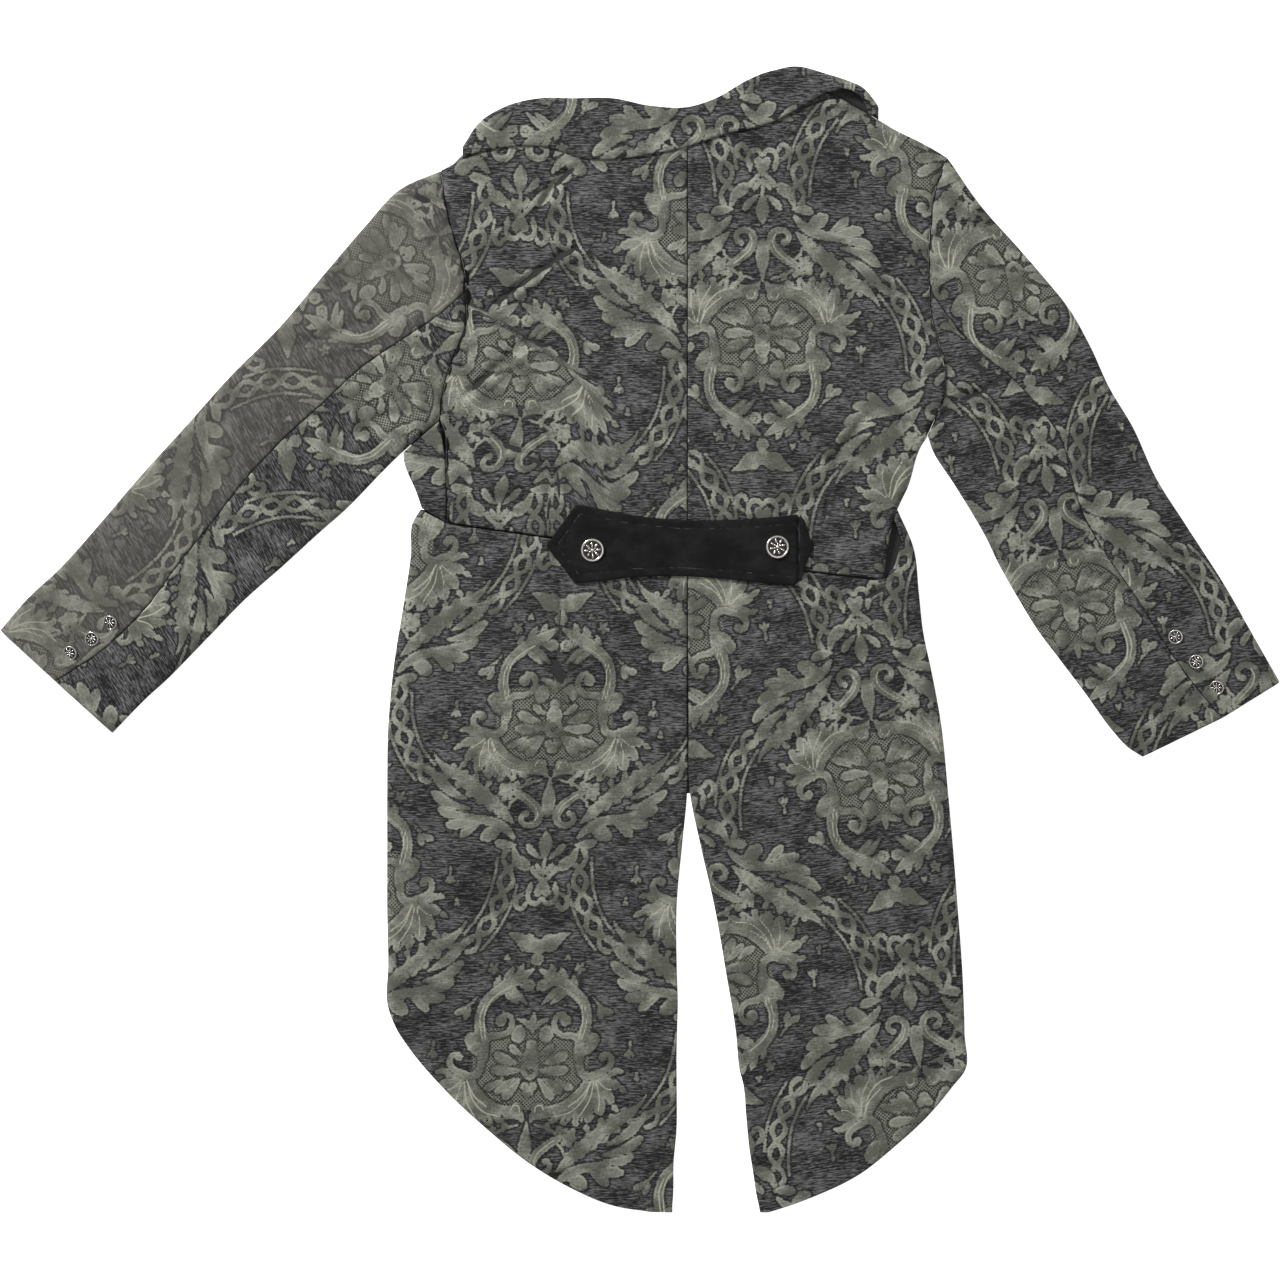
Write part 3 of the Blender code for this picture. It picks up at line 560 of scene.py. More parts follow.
# Creases: start x, y, middle x, y, end x, y, half width, height (a trough below zero), ridge beside it
CREASES = (
    # left back, from the collar down: two tucks, the drag towards the armpit, and its waist dart
    (-52, 441, -80, 419, -99, 386, 4.0, -5.4, 2.6),
    (-52, 366, -93, 341, -160, 291, 3.8, -5.4, 3.0),
    (-96, 282, -128, 256, -180, 208, 4.7, -4.0, 1.6),
    (-184, 199, -122, 180, -74, 148, 4.2, -3.2, 1.6),
    (-150, 420, -106, 330, -126, 240, 26.0, 1.2, 0.0),
    (-92, 209, -78, 165, -74, 108, 1.9, -2.3, 0.8),
    (-74, 60, -74, 20, -77, -34, 2.1, -2.6, 0.9),
    (-84, -12, -76, -28, -66, -50, 5.0, -3.6, 1.4),
    (-78, -14, -72, -40, -53, -76, 4.2, -3.0, 1.2),
    (-175, 120, -140, 128, -96, 131, 6.8, -1.5, 1.0),
    (-12, 300, -30, 255, -22, 190, 17.0, -1.1, 0.7),
    # right back: the drag to the waist, its dart, and the pocket where the hip folds
    (216, 216, 187, 174, 157, 118, 6.0, -3.8, 1.9),
    (184, 166, 175, 134, 168, 96, 1.9, -2.3, 0.8),
    (159, 102, 160, 66, 163, 22, 2.0, -2.3, 0.8),
    (163, 27, 167, -4, 175, -38, 3.1, -2.5, 1.1),
    (258, 178, 236, 120, 222, 56, 9.0, 3.2, 0.0),
    (232, 58, 221, 45, 200, 37, 3.4, -3.6, 0.6),
    (120, 430, 160, 380, 150, 300, 24.0, 0.9, 0.0),
    (240, 330, 214, 290, 206, 240, 10.2, -1.6, 1.1),
    # tails
    (211, 6, 177, -56, 137, -106, 7.2, -3.6, 1.7),
    (118, -150, 110, -240, 120, -330, 22.0, 0.9, 0.0),
    (-140, -120, -128, -240, -134, -350, 26.0, 0.9, 0.0),
    (-210, 40, -180, -10, -160, -60, 11.9, -1.5, 1.0),
    (260, -60, 252, -150, 262, -240, 12.0, 1.1, 0.0),
    # left sleeve: the shoulder, the long drag along the crown, and soft folds at the elbow
    (-178, 400, -198, 407, -223, 412, 3.8, -3.5, 1.4),
    (-183, 320, -262, 290, -349, 261, 7.6, -3.4, 1.9),
    (-205, 210, -240, 205, -272, 180, 6.0, -2.2, 1.2),
    (-300, 130, -330, 140, -366, 128, 6.8, -2.0, 1.2),
    (-360, 225, -392, 196, -410, 160, 8.5, -1.8, 1.2),
    # right sleeve: drags from the armpit
    (294, 273, 319, 249, 332, 232, 3.8, -3.8, 1.8),
    (283, 221, 312, 228, 336, 241, 4.2, -3.0, 1.7),
    (289, 213, 277, 204, 263, 191, 3.4, -3.8, 1.2),
    (318, 330, 345, 300, 362, 262, 10.0, 1.3, 0.0),
    (345, 150, 372, 162, 398, 158, 6.8, -2.2, 1.4),
    (440, 210, 436, 160, 446, 110, 8.5, -1.8, 1.2),
)


def wave(x, y, length, turn, phase):
    """A long soft undulation."""
    return np.sin((x * math.cos(turn) + y * math.sin(turn)) * 2 * math.pi / length + phase)


def ease(t):
    """A soft step from 0 to 1."""
    t = np.clip(t, 0.0, 1.0)
    return t * t * (3 - 2 * t)


def lay_height(x, y):
    """Height of the upper layer's face before its creases."""
    levels, left, right = (np.array(column, dtype=float) for column in zip(*CUTAWAY))
    outside = np.minimum(x - np.interp(y, levels, left), np.interp(y, levels, right) - x)
    covered = 1.0 - ease((outside - LEVEL) / DESCENT)
    return SINGLE + covered * (UPPER - SINGLE)


def crease_height(x, y):
    """What the creases add to the height: each fades at its ends and wanders a little in width."""
    total = np.zeros_like(x)
    for x0, y0, x1, y1, x2, y2, half_width, height, ridge in CREASES:
        reach = 3.2 * half_width
        near = ((x > min(x0, x1, x2) - reach) & (x < max(x0, x1, x2) + reach)
                & (y > min(y0, y1, y2) - reach) & (y < max(y0, y1, y2) + reach))
        if not near.any():
            continue
        px, py = x[near], y[near]
        t = np.linspace(0, 1, 15)
        cx = (1 - t) ** 2 * x0 + 2 * t * (1 - t) * (2 * x1 - (x0 + x2) / 2) + t ** 2 * x2
        cy = (1 - t) ** 2 * y0 + 2 * t * (1 - t) * (2 * y1 - (y0 + y2) / 2) + t ** 2 * y2
        best, side, share = np.full(px.shape, 1e9), np.zeros_like(px), np.zeros_like(px)
        for k in range(len(t) - 1):
            dx, dy = cx[k + 1] - cx[k], cy[k + 1] - cy[k]
            along = ((px - cx[k]) * dx + (py - cy[k]) * dy) / (dx * dx + dy * dy)
            held = np.clip(along, 0, 1)
            ox, oy = px - cx[k] - held * dx, py - cy[k] - held * dy
            off = np.hypot(ox, oy)
            closer = off < best
            best = np.where(closer, off, best)
            side = np.where(closer, np.sign(dx * oy - dy * ox), side)
            share = np.where(closer, (k + held) / (len(t) - 1), share)
        wander = 1 + 0.22 * np.sin(share * 9 + x0)
        taper = ease(share / 0.28) * ease((1 - share) / 0.28)
        signed = best * side
        profile = height * np.exp(-(best / (half_width * wander)) ** 2)
        profile += ridge * np.exp(-((signed - 1.7 * half_width) / (1.1 * half_width)) ** 2)
        total[near] += profile * taper
    return total


def rounding(distance, drop, reach):
    """How far a rounded edge falls at a distance from it."""
    t = np.clip(1 - distance / reach, 0, 1)
    return -drop * (1 - np.sqrt(1 - t * t * 0.999))


def spaced(total, step, close_start, close_end):
    """Places along a length: even steps, with closer ones at rounded ends."""
    count = max(3, int(round(total / step)))
    even = np.linspace(0, total, count + 1)
    lead = [0.0, 0.45, 1.0]
    middle = even[(even > 1.4) & (even < total - 1.4)]
    start = lead if close_start else [0.0]
    end = [total - v for v in reversed(lead)] if close_end else [total]
    return np.concatenate([start, middle, end])


def spread(path, parts, start=0.0, end=1.0):
    """Points that part a path, or a stretch of it between two shares of its length, equally."""
    path = np.asarray(path, dtype=float)
    walked = walked_along(path)
    at = np.linspace(start * walked[-1], end * walked[-1], parts + 1)
    return np.column_stack([np.interp(at, walked, path[:, k]) for k in (0, 1)])


def unit(vectors):
    """Plan directions of unit length."""
    return vectors / np.maximum(np.hypot(*vectors.T), 1e-6)[:, None]


ROLL = 10               # spans over the rolled edge, and as many below it
ROLL_OVER = 9.0         # how far in the upper face starts to bend down, where two layers lie
ROLL_UNDER = 4.0        # how far in the lower face is flat again
EDGE_OVER = 0.8         # the same two at a plain edge
EDGE_UNDER = 0.4
DEEPEST = 3.2           # the most that an edge may fall
BACK_SKIP = 8           # the inner face has a row or column for every eight of the outer one

# Plain black lining, pressed flat, on every piece's inner face: it shows only where the coat gapes,
# and its black there is painted shade for the hollow
black_lining_and_shade, tree = new_material("black_lining_painted_shade")
lining_and_shade_face = node(tree, "BsdfPrincipled", {"Base Color": linear("#171717"), "Roughness": 0.7})
node(tree, "OutputMaterial", [lining_and_shade_face])


def make_cloth(name, tops, unders, folded, cloth_at, flat, top_height=None, base=0.0,
               stitch=(0, 0, 0, 0), step=THREAD_STEP, marks=None, material=None,
               joined=None, turned_nap=0.0):
    """One cut piece of the coat as a thin closed shell.

    tops holds control rows of points on the upper layer, each from its inner edge to its outer one;
    unders goes on from there beneath; folded says, for each row, how far its outer edge is a fold
    (1) or a plain edge (0).  cloth_at turns places into places on the woven design.  A plain cloth
    has its own material, and marks in place of the design.  stitch says how the inner, outer, first
    and last edges are worked: topstitched above zero, pulled down by a seam below it.  A piece with
    no flat size is a part, given back for the piece that names it as joined.  turned_nap is how far
    its pile lies the other way; the design is muted by that much, a painted sheen of turned pile.
    """
    tops, unders = np.asarray(tops, dtype=float), np.asarray(unders, dtype=float)
    folded = np.asarray(folded, dtype=float)
    middle = tops.shape[1] // 2
    knots = np.maximum.reduce([
        np.concatenate([[0], np.cumsum(np.maximum(np.hypot(*np.diff(tops[:, c], axis=0).T), 0.2))])
        for c in (0, middle, -1)
    ])
    at = spaced(knots[-1], step, True, True)
    top_rows = smooth_read(knots, tops, at)
    under_rows = smooth_read(knots, unders, at)
    fold = ease(np.interp(at, knots, folded))
    top_height = top_height or (lambda x, y: lay_height(x, y) + crease_height(x, y))

    lengths = np.hypot(*np.moveaxis(np.diff(top_rows, axis=1), 2, 0)).sum(1)
    edge_x, edge_y = top_rows[:, -1, 0], top_rows[:, -1, 1]
    edge_height = top_height(edge_x, edge_y)
    low = np.where(fold > 0, fold * base + (1 - fold) * (edge_height - CLOTH), edge_height - CLOTH)
    deep = np.clip((edge_height - SINGLE) / (UPPER - SINGLE), 0, 1)
    over = np.minimum(EDGE_OVER + fold * deep * (ROLL_OVER - EDGE_OVER), 0.45 * lengths)
    under = np.minimum(EDGE_UNDER + fold * deep * (ROLL_UNDER - EDGE_UNDER), 0.4 * lengths)

    main = spaced(np.median(lengths), step, True, False)[:-1] / np.median(lengths)
    angles = np.linspace(0, math.pi / 2, ROLL + 1)
    top_columns = len(main) + ROLL + 1
    parts = unders.shape[1]
    count = top_columns + ROLL + parts
    x, y, z = (np.zeros((len(at), count)) for _ in range(3))
    for r in range(len(at)):
        walked = walked_along(top_rows[r])
        distance = np.concatenate([
            main * (lengths[r] - over[r]), lengths[r] - over[r] * (1 - np.sin(angles)),
        ])
        for axis, out in ((0, x), (1, y)):
            out[r, :top_columns] = np.interp(distance, walked, top_rows[r, :, axis])
    z[:, :top_columns] = top_height(x[:, :top_columns], y[:, :top_columns])

    # the rolled edge: a half oval, wider above than below
    high, foot = edge_height[:, None], low[:, None]
    waist = (high + foot) / 2
    roll_top = slice(top_columns - ROLL - 1, top_columns)
    bend = np.cos(angles)[None, :]
    face = z[:, roll_top]
    z[:, roll_top] = waist + (face - waist) * bend
    after = under_rows - top_rows[:, -1:, :]
    folded_in = unit(after[:, min(1, parts - 1)])
    plain_in = unit(top_rows[:, -2] - top_rows[:, -1])
    inward = unit(folded_in * fold[:, None] + plain_in * (1 - fold[:, None]))
    for k in range(1, ROLL + 1):
        c = top_columns - 1 + k
        step = under * (1 - math.cos(angles[k]))
        x[:, c] = edge_x + inward[:, 0] * step
        y[:, c] = edge_y + inward[:, 1] * step
        z[:, c] = (waist - (waist - foot) * math.sin(angles[k]))[:, 0]
    start_x, start_y = x[:, top_columns - 1 + ROLL], y[:, top_columns - 1 + ROLL]
    for k in range(parts):
        c = top_columns + ROLL + k
        share = (k + 1) / parts
        far_x = under_rows[:, k, 0] + (start_x - edge_x) * (1 - share)
        far_y = under_rows[:, k, 1] + (start_y - edge_y) * (1 - share)
        tuck_x = start_x + inward[:, 0] * 0.8 * share
        tuck_y = start_y + inward[:, 1] * 0.8 * share
        x[:, c] = far_x * fold + tuck_x * (1 - fold)
        y[:, c] = far_y * fold + tuck_y * (1 - fold)
        z[:, c] = low

    # places on the cloth run on over the roll by the length of the section
    spans = np.sqrt(np.diff(x, axis=1) ** 2 + np.diff(y, axis=1) ** 2 + np.diff(z, axis=1) ** 2)
    begin = top_columns - ROLL - 1
    flat_x, flat_y = x.copy(), y.copy()
    run = np.cumsum(spans[:, begin:], axis=1)
    heading = unit(np.column_stack([edge_x - x[:, begin], edge_y - y[:, begin]]))
    flat_x[:, begin + 1:] = x[:, begin:begin + 1] + heading[:, :1] * run
    flat_y[:, begin + 1:] = y[:, begin:begin + 1] + heading[:, 1:] * run
    along = np.repeat(at[:, None], count, axis=1)
    across = np.concatenate([np.zeros((len(at), 1)), np.cumsum(spans, axis=1)], axis=1)
    u, v = cloth_at(flat_x, flat_y)

    # edges are rounded, and a free edge has its line of topstitching
    shell_z = z.copy()
    fall = np.zeros_like(z)
    to_end = lengths[:, None] - across
    borders = ((across, stitch[0]), (np.where(fold[:, None] > 0.5, 99.0, to_end), stitch[1]),
               (along, stitch[2]), (at[-1] - along, stitch[3]))
    on_top = np.zeros_like(z)
    on_top[:, :top_columns] = 1.0
    for k, (away, stitched) in enumerate(borders):
        pucker = 1 + 0.25 * np.sin(away * 0.2 + (along if k < 2 else across) * 0.31)
        fall += rounding(np.maximum(away, 0), 1.5, 2.6) * pucker
        if stitched < 0:
            fall += stitched * np.exp(-(away / 5.0) ** 2) * (1.3 * pucker - 0.3)
            continue
        line = np.exp(-((away - 8.5) / 1.0) ** 2) * 0.6 - 0.35 * np.exp(-((away - 4.5) / 3.0) ** 2)
        fall -= line * stitched
    z += np.maximum(fall, -DEEPEST) * on_top
    swell = (0.28 * wave(x, y, 83, 0.4, 1.0) + 0.22 * wave(x, y, 57, 1.9, 0.3)
             + 0.16 * wave(x, y, 31, 2.6, 2.0))
    if marks is None:
        marks_at = [read_design(name, u, v) for name in ("figure", "vein", "hatch")]
        swell += 0.3 * ease(-marks_at[0] / 1.4)
    else:
        marks_at = marks(x, y)
    facing = on_top.copy()
    facing[:, roll_top] *= np.cos(angles)[None, :]
    z += swell * facing
    z = np.maximum(z, 0.0)

    # inner face: coarse, one cloth thickness in
    normal = np.cross(
        np.stack([np.gradient(a, axis=1) for a in (x, y, shell_z)], -1),
        np.stack([np.gradient(a, axis=0) for a in (x, y, shell_z)], -1),
    )
    normal /= np.maximum(np.linalg.norm(normal, axis=2, keepdims=True), 1e-9)
    up = 1.0 if normal[:, :begin, 2].mean() > 0 else -1.0
    points = np.stack([x, y, z], -1)
    flat_edge = 1 - fold[:, None, None]
    inner = np.stack([x, y, shell_z], -1) - up * normal * CLOTH
    columns = np.arange(count)
    tail = np.clip((columns - begin) / max(count - 1 - begin, 1), 0, 1)
    corner = np.stack([
        x[:, begin:begin + 1] + (x[:, -1:] - x[:, begin:begin + 1]) * tail,
        y[:, begin:begin + 1] + (y[:, -1:] - y[:, begin:begin + 1]) * tail,
        np.repeat(low[:, None] + 0.02, count, 1),
    ], -1)
    past = (columns >= begin)[None, :, None]
    inner = np.where(past, inner * (1 - flat_edge) + corner * flat_edge, inner)
    inner[..., 2] = np.maximum(inner[..., 2], 0.3)
    row_ids = np.unique(np.concatenate([np.arange(0, len(at), BACK_SKIP), [len(at) - 1]]))
    column_ids = np.unique(np.concatenate([
        np.arange(0, begin, BACK_SKIP), np.arange(begin, top_columns + ROLL, 3),
        np.arange(top_columns + ROLL - 1, count),
    ]))

    rows = len(at)
    outer_id = np.arange(rows * count).reshape(rows, count)
    inner_id = rows * count + np.arange(len(row_ids) * len(column_ids)).reshape(len(row_ids), -1)
    coordinates = np.concatenate([points.reshape(-1, 3), inner[np.ix_(row_ids, column_ids)].reshape(-1, 3)])
    loops = [np.stack([outer_id[:-1, :-1], outer_id[:-1, 1:], outer_id[1:, 1:], outer_id[1:, :-1]], -1)
             .reshape(-1, 4)[:, ::int(up)]]
    loops.append(np.stack([inner_id[:-1, :-1], inner_id[1:, :-1], inner_id[1:, 1:], inner_id[:-1, 1:]], -1)
                 .reshape(-1, 4)[:, ::int(up)])
    sizes = [np.full(len(part), 4) for part in loops]
    rims = []
    for outer_line, inner_line, ids, turn in (
        (outer_id[0], inner_id[0], column_ids, -1), (outer_id[-1], inner_id[-1], column_ids, 1),
        (outer_id[:, 0], inner_id[:, 0], row_ids, 1), (outer_id[:, -1], inner_id[:, -1], row_ids, -1),
    ):
        for k in range(len(ids) - 1):
            ring = list(outer_line[ids[k]:ids[k + 1] + 1]) + [inner_line[k + 1], inner_line[k]]
            rims.append(ring[::int(turn * up)])
    loops = np.concatenate([part.ravel() for part in loops] + [np.concatenate(rims)])
    lined = np.repeat([0, 1, 0], [len(sizes[0]), len(sizes[1]), len(rims)])
    sizes = np.concatenate(sizes + [[len(ring) for ring in rims]])

    mesh = bpy.data.meshes.new(name)
    mesh.vertices.add(len(coordinates))
    mesh.vertices.foreach_set("co", (coordinates * MM).ravel())
    mesh.loops.add(len(loops))
    mesh.loops.foreach_set("vertex_index", loops)
    mesh.polygons.add(len(sizes))
    mesh.polygons.foreach_set("loop_start", np.concatenate([[0], np.cumsum(sizes)[:-1]]))
    mesh.polygons.foreach_set("use_smooth", np.ones(len(sizes), dtype=bool))
    mesh.polygons.foreach_set("material_index", lined)
    mesh.update(calc_edges=True)
    back_cloth = np.stack([u, v, np.zeros_like(u)], -1)[np.ix_(row_ids, column_ids)].reshape(-1, 3)
    # the cloth attribute's third place is turned_nap, the share of painted sheen on the face
    for attribute, face, back in (
        ("cloth", np.stack([u, v, np.full_like(u, turned_nap)], -1), back_cloth),
        ("drawn", np.stack(marks_at, -1), np.full_like(back_cloth, FAR)),
    ):
        data = mesh.attributes.new(attribute, "FLOAT_VECTOR", "POINT").data
        data.foreach_set("vector", np.concatenate([face.reshape(-1, 3), back]).ravel())
    item = bpy.data.objects.new(name + ("_cloth" if flat else "_upper"), mesh)
    bpy.context.scene.collection.objects.link(item)
    mesh.materials.append(material or jacquard)
    # the inner faces take the black lining, painted shade where a hollow shows them
    mesh.materials.append(black_lining_and_shade)
    cut = sum(p.area for p in mesh.polygons[:(rows - 1) * (count - 1)])
    if flat is None:
        return item, cut
    if joined:
        cut += joined[1]
        bpy.ops.object.select_all(action="DESELECT")
        joined[0].select_set(True)
        item.select_set(True)
        bpy.context.view_layer.objects.active = item
        bpy.ops.object.join()
    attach(item, "root")
    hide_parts(name)


# ---------------------------------------------------------------------------------------------
# Backs: two panels joined down the centre.  The left one ends at its side seam and armhole; the
# right one rolls over at the side, where the coat is folded on itself.
# ---------------------------------------------------------------------------------------------

CENTRE_X = 44.0
NECK_Y = 464.0
WAIST_Y = 77.0
NECK_BOW = {"left": 24.0, "right": 42.0}

# Armholes from the armpit to the shoulder point, and side edges from the waist up: x, y
ARMHOLE = {
    "left": ((-185, 204), (-182, 232), (-174, 258), (-161, 291), (-162, 322),
             (-163, 343), (-171, 370), (-179, 400), (-184, 434)),
    "right": ((266, 189), (283, 235), (278, 270), (269, 303), (268, 323),
              (267, 350), (269, 385), (274, 419), (284, 446)),
}
SIDE = {
    "left": ((-179, 109), (-179, 138), (-180, 168), (-182, 197)),
    "right": ((225.5, 56), (230, 90), (237.5, 119), (248, 142), (260, 179)),
}
SLEEVE_SEAM_POINT = 4


def armhole_line(side, first, last, steps):
    """The smooth armhole between two of its points."""
    points = np.array(ARMHOLE[side], dtype=float)
    knots = walked_along(points)
    return smooth_read(knots, points, np.linspace(knots[first], knots[last], steps + 1))


def neck_bow(side, t):
    """How far the neck and shoulder line bows up from straight; the right one leans to the neck."""
    lean = 1.0
    if side == "right":
        lean += np.clip(1.6 * (0.68 - t), -0.2, 0.12) + np.clip(2.8 * (0.604 - t), 0, 0.12)
    return 4 * NECK_BOW[side] * t * (1 - t) * lean


def back_rows(side, seam_x):
    """Rows of a back from the waist up, each from the centre seam to the side or the armhole."""
    outline = list(SIDE[side]) + list(armhole_line(side, 0, 8, 40))
    foot, tip = outline[0][1], outline[-1][1]
    rows = []
    for point in outline:
        share = (point[1] - foot) / (tip - foot)
        t = np.linspace(0, 1, 17)
        start = (seam_x, WAIST_Y + (NECK_Y - WAIST_Y) * share)
        rise = ease((share - 0.55) / 0.45)
        rows.append(np.column_stack([
            start[0] + (point[0] - start[0]) * t,
            start[1] + (point[1] - start[1]) * t + neck_bow(side, t) * rise,
        ]))
    return np.array(rows)


def turned_weave(centre_x, centre_y, degrees=0):
    """The weave with a medallion's middle at a place, and its rows turned."""
    turn = math.radians(degrees)

    def weave(x, y):
        dx, dy = x - centre_x, y - centre_y
        return dx * math.cos(turn) + dy * math.sin(turn), dy * math.cos(turn) - dx * math.sin(turn)
    return weave


def left_back_weave(x, y):
    """Upside down; the tuck across the shoulder blade and the waist dart each swallow some cloth."""
    tuck = 276 - 0.62 * (x + 103)
    swallowed = 37.0 * ease((tuck - y) / 8.0 + 0.5) * ease((-20 - x) / 50.0)
    dart = 20.0 * ease((-84 - x) / 6.0 + 0.5) * ease((210 - y) / 90.0)
    return -(x + 110.5 + dart), -(y - 223 - swallowed)


right_weave = turned_weave(113.3, 277)
rows = back_rows("left", CENTRE_X - SEAM / 2)
make_cloth("back_left", rows, rows[:, -1:], np.zeros(len(rows)), left_back_weave, (232, 400),
           stitch=(-0.3, -1.4, -0.9, 0))
rows = back_rows("right", CENTRE_X + SEAM / 2)
beneath = rows[:, -1:] + (rows[:, -2:-1] - rows[:, -1:]) * 0.75
folds = np.array([1.0] * len(SIDE["right"]) + [0.0] * (len(rows) - len(SIDE["right"])))
make_cloth("back_right", rows, beneath, folds, right_weave, (255, 410),
           stitch=(-0.3, -1.4, -0.9, 0))


# ---------------------------------------------------------------------------------------------
# Fronts: face down on the surface under the backs.  Only the left one shows, where it comes round
# the fold to the side seam.
# ---------------------------------------------------------------------------------------------

# Left front where it shows: front edge x, y, side fold x, y, side seam x, y
FRONT_LEFT_FOLDED = (
    (-12, 85, -202, 122, -179, 109),
    (-3, 130, -207.5, 138, -179, 138),
    (-3, 155, -217, 160, -180, 168),
    (-3, 183, -218.5, 173.8, -185.5, 202.3),
)
# Front edges beside each armhole point: x, y
FRONT_EDGE = {
    "left": ((-3, 200), (-3, 225), (-3, 250), (-3, 285), (-12, 320), (-22, 355), (-33, 400), (-46, 445),
             (-60, 488)),
    "right": ((3, 205), (3, 235), (3, 260), (3, 285), (15, 320), (32, 365), (50, 410), (70, 455),
              (90, 500)),
}
# Front edges of the right front beside its side's points: x, y
FRONT_RIGHT_LOWER = ((3, 82), (3, 110), (3, 138), (3, 160), (3, 185))
left_front_weave = turned_weave(-132, 261, 180)


def pressed_flat(x, y):
    return np.full_like(x, CLOTH)


def bowed_row(start, end, bow):
    """A row from the front edge that bows up between its ends."""
    t = np.linspace(0, 1, 17)
    return np.column_stack([start[0] + (end[0] - start[0]) * t,
                            start[1] + (end[1] - start[1]) * t + 4 * bow * t * (1 - t)])


def hidden_front(name, rows, weave, flat):
    """A front's flat part, pressed on the surface beneath the back."""
    rows = np.array(rows)
    return make_cloth(name, rows, rows[:, -1:], np.zeros(len(rows)), weave, flat,
                      top_height=pressed_flat, step=9.0)


rows = []
for k, ((x, y), edge) in enumerate(zip(ARMHOLE["left"], FRONT_EDGE["left"])):
    rows.append(bowed_row(edge, (x + (4 if k else 1.5), y - 1), 20 * ease((k - 5) / 3)))
upper_part = hidden_front("front_left", rows, left_front_weave, None)
tops = [spread([(sx - SEAM, sy), (fx, fy)], 8) for _, _, fx, fy, sx, sy in FRONT_LEFT_FOLDED]
unders = [spread([(fx, fy), (ex, ey)], 8)[1:] for ex, ey, fx, fy, _, _ in FRONT_LEFT_FOLDED]
make_cloth("front_left", tops, unders, np.ones(4), left_front_weave, (250, 420),
           joined=upper_part)

rows = [bowed_row(edge, (x - 12, y + 1), 0) for edge, (x, y) in zip(FRONT_RIGHT_LOWER, SIDE["right"])]
for k, ((x, y), edge) in enumerate(zip(ARMHOLE["right"], FRONT_EDGE["right"])):
    rows.append(bowed_row(edge, (x - (4 if k else 9), y - 1), 16 * ease((k - 4) / 4)))
hidden_front("front_right", rows, right_weave, (285, 430))


# ---------------------------------------------------------------------------------------------
# Skirts: two tails, sewn to the backs along the waist and cut away in front.  Each is folded back
# on itself at the side; the vent and the hem are free, turned in and topstitched.
# ---------------------------------------------------------------------------------------------

# Left tail: vent edge x, y, side fold or hem x, y, cutaway edge x, y (None where one layer lies).
# The two top rows have the waist seam's corner before the fold.
TAIL_LEFT = (
    (43.7, 76.4, -178, 107, -203, 121, -13, 84.4),
    (43.7, 67, -178, 95, -210.5, 108, -18, 74),
    (43.7, 50, -212, 80, -26, 56),
    (43.7, 15, -218.5, 35, -50, 20),
    (43.7, -30, -228, -25, -84, -28),
    (43.7, -80, -233, -80, -116, -80),
    (43.7, -140, -234, -140, -152, -140),
    (39, -190, -234, -190, -178, -190),
    (34, -245, -234, -245, -204, -245),
    (34, -300, -233, -300, -220, -300),
    (35, -339, -233, -339, None, None),
    (34.5, -358, -226, -358, None, None),
    (34, -376, -215, -376, None, None),
    (34, -413, -184, -413, None, None),
    (34, -450, -145, -450, None, None),
    (31, -487, -99, -487, None, None),
    (31, -506, -67, -506, None, None),
    (30, -524, -24, -524, None, None),
    (30, -530, 10, -529.6, None, None),
)
# Right tail: the same, with a knee in each row where the waist seam turns up the hip before the fold,
# and more of that curve in the top row
TAIL_RIGHT = (
    (44.3, 76.2, 226.5, 54, 235.5, 68, 243, 95, 240.5, 102, 233.5, 108, 238.5, 120, 13, 79.6),
    (44.3, 64, 227.5, 44, 253.5, 84, 19, 66),
    (44.3, 48, 228, 32, 258, 45, 26, 50),
    (44.3, 15, 229, 8, 262, 8, 50, 14),
    (44.6, -30, 232, -30, 270, -30, 80, -30),
    (45, -80, 235, -80, 279, -80, 116, -80),
    (46, -140, 240, -140, 285, -140, 152, -140),
    (56, -190, 245, -190, 289.5, -190, 178, -190),
    (69, -247, 248, -247, 294, -247, 210, -247),
    (80, -310, 255, -310, 298.5, -310, 240, -310),
    (89, -365, 258, -365, 300.5, -365, 280, -365),
    (92, -397, 262, -397, 301, -397, None, None),
    (96, -413, 255, -413, 289, -413, None, None),
    (98, -437, 240, -437, 270, -437, None, None),
    (101, -469, 213, -469, 236, -469, None, None),
    (105, -495, 188, -495, 203, -495, None, None),
    (108, -515, 154, -515, 162, -515, None, None),
    (110.5, -526, 129, -526, 132, -526, None, None),
    (111, -530, 118, -530, 119, -530, None, None),
)
TAIL_PARTS = 8
TAIL_STEP = 1.62        # spacing of its fine mesh


def left_tail_weave(x, y):
    """Upside down on an axis that leans; the cloth is eased in a little below the waist."""
    axis = -77 + 0.07 * (y + 42)
    return -(x - axis), -(y + 68 + 9 * ease((y + 220) / 180))


def tail_shell(name, table, weave, flat, kneed):
    """A skirt with its tail; a kneed one has as many columns beyond the knee as before it."""
    tops, unders, folds = [], [], []
    for row in table:
        start, fold, cut = row[:2], row[-4:-2], row[-2:]
        way = list(zip(row[2:-4:2], row[3:-4:2]))
        if kneed:
            tops.append(np.concatenate([spread([start, way[0]], 8), spread([*way, fold], 8)[1:]]))
        else:
            tops.append(spread([start, *way, fold], 16))
        inner = way[0] if way else start
        length = math.dist(fold, inner)
        folds.append(0.0 if cut[0] is None else 1.0)
        if cut[0] is None:
            cut = [f + (s - f) * min(0.5, 6 / length) for f, s in zip(fold, inner)]
        unders.append(spread([fold, cut], TAIL_PARTS)[1:])
    make_cloth(name, tops, unders, folds, weave, flat,
               stitch=(0.5, 0.4, -0.9, 0.3), step=TAIL_STEP)


tail_shell("skirt_left", TAIL_LEFT, left_tail_weave, (480, 660), False)
tail_shell("skirt_right", TAIL_RIGHT, turned_weave(221.5, -128, 8), (470, 670), True)
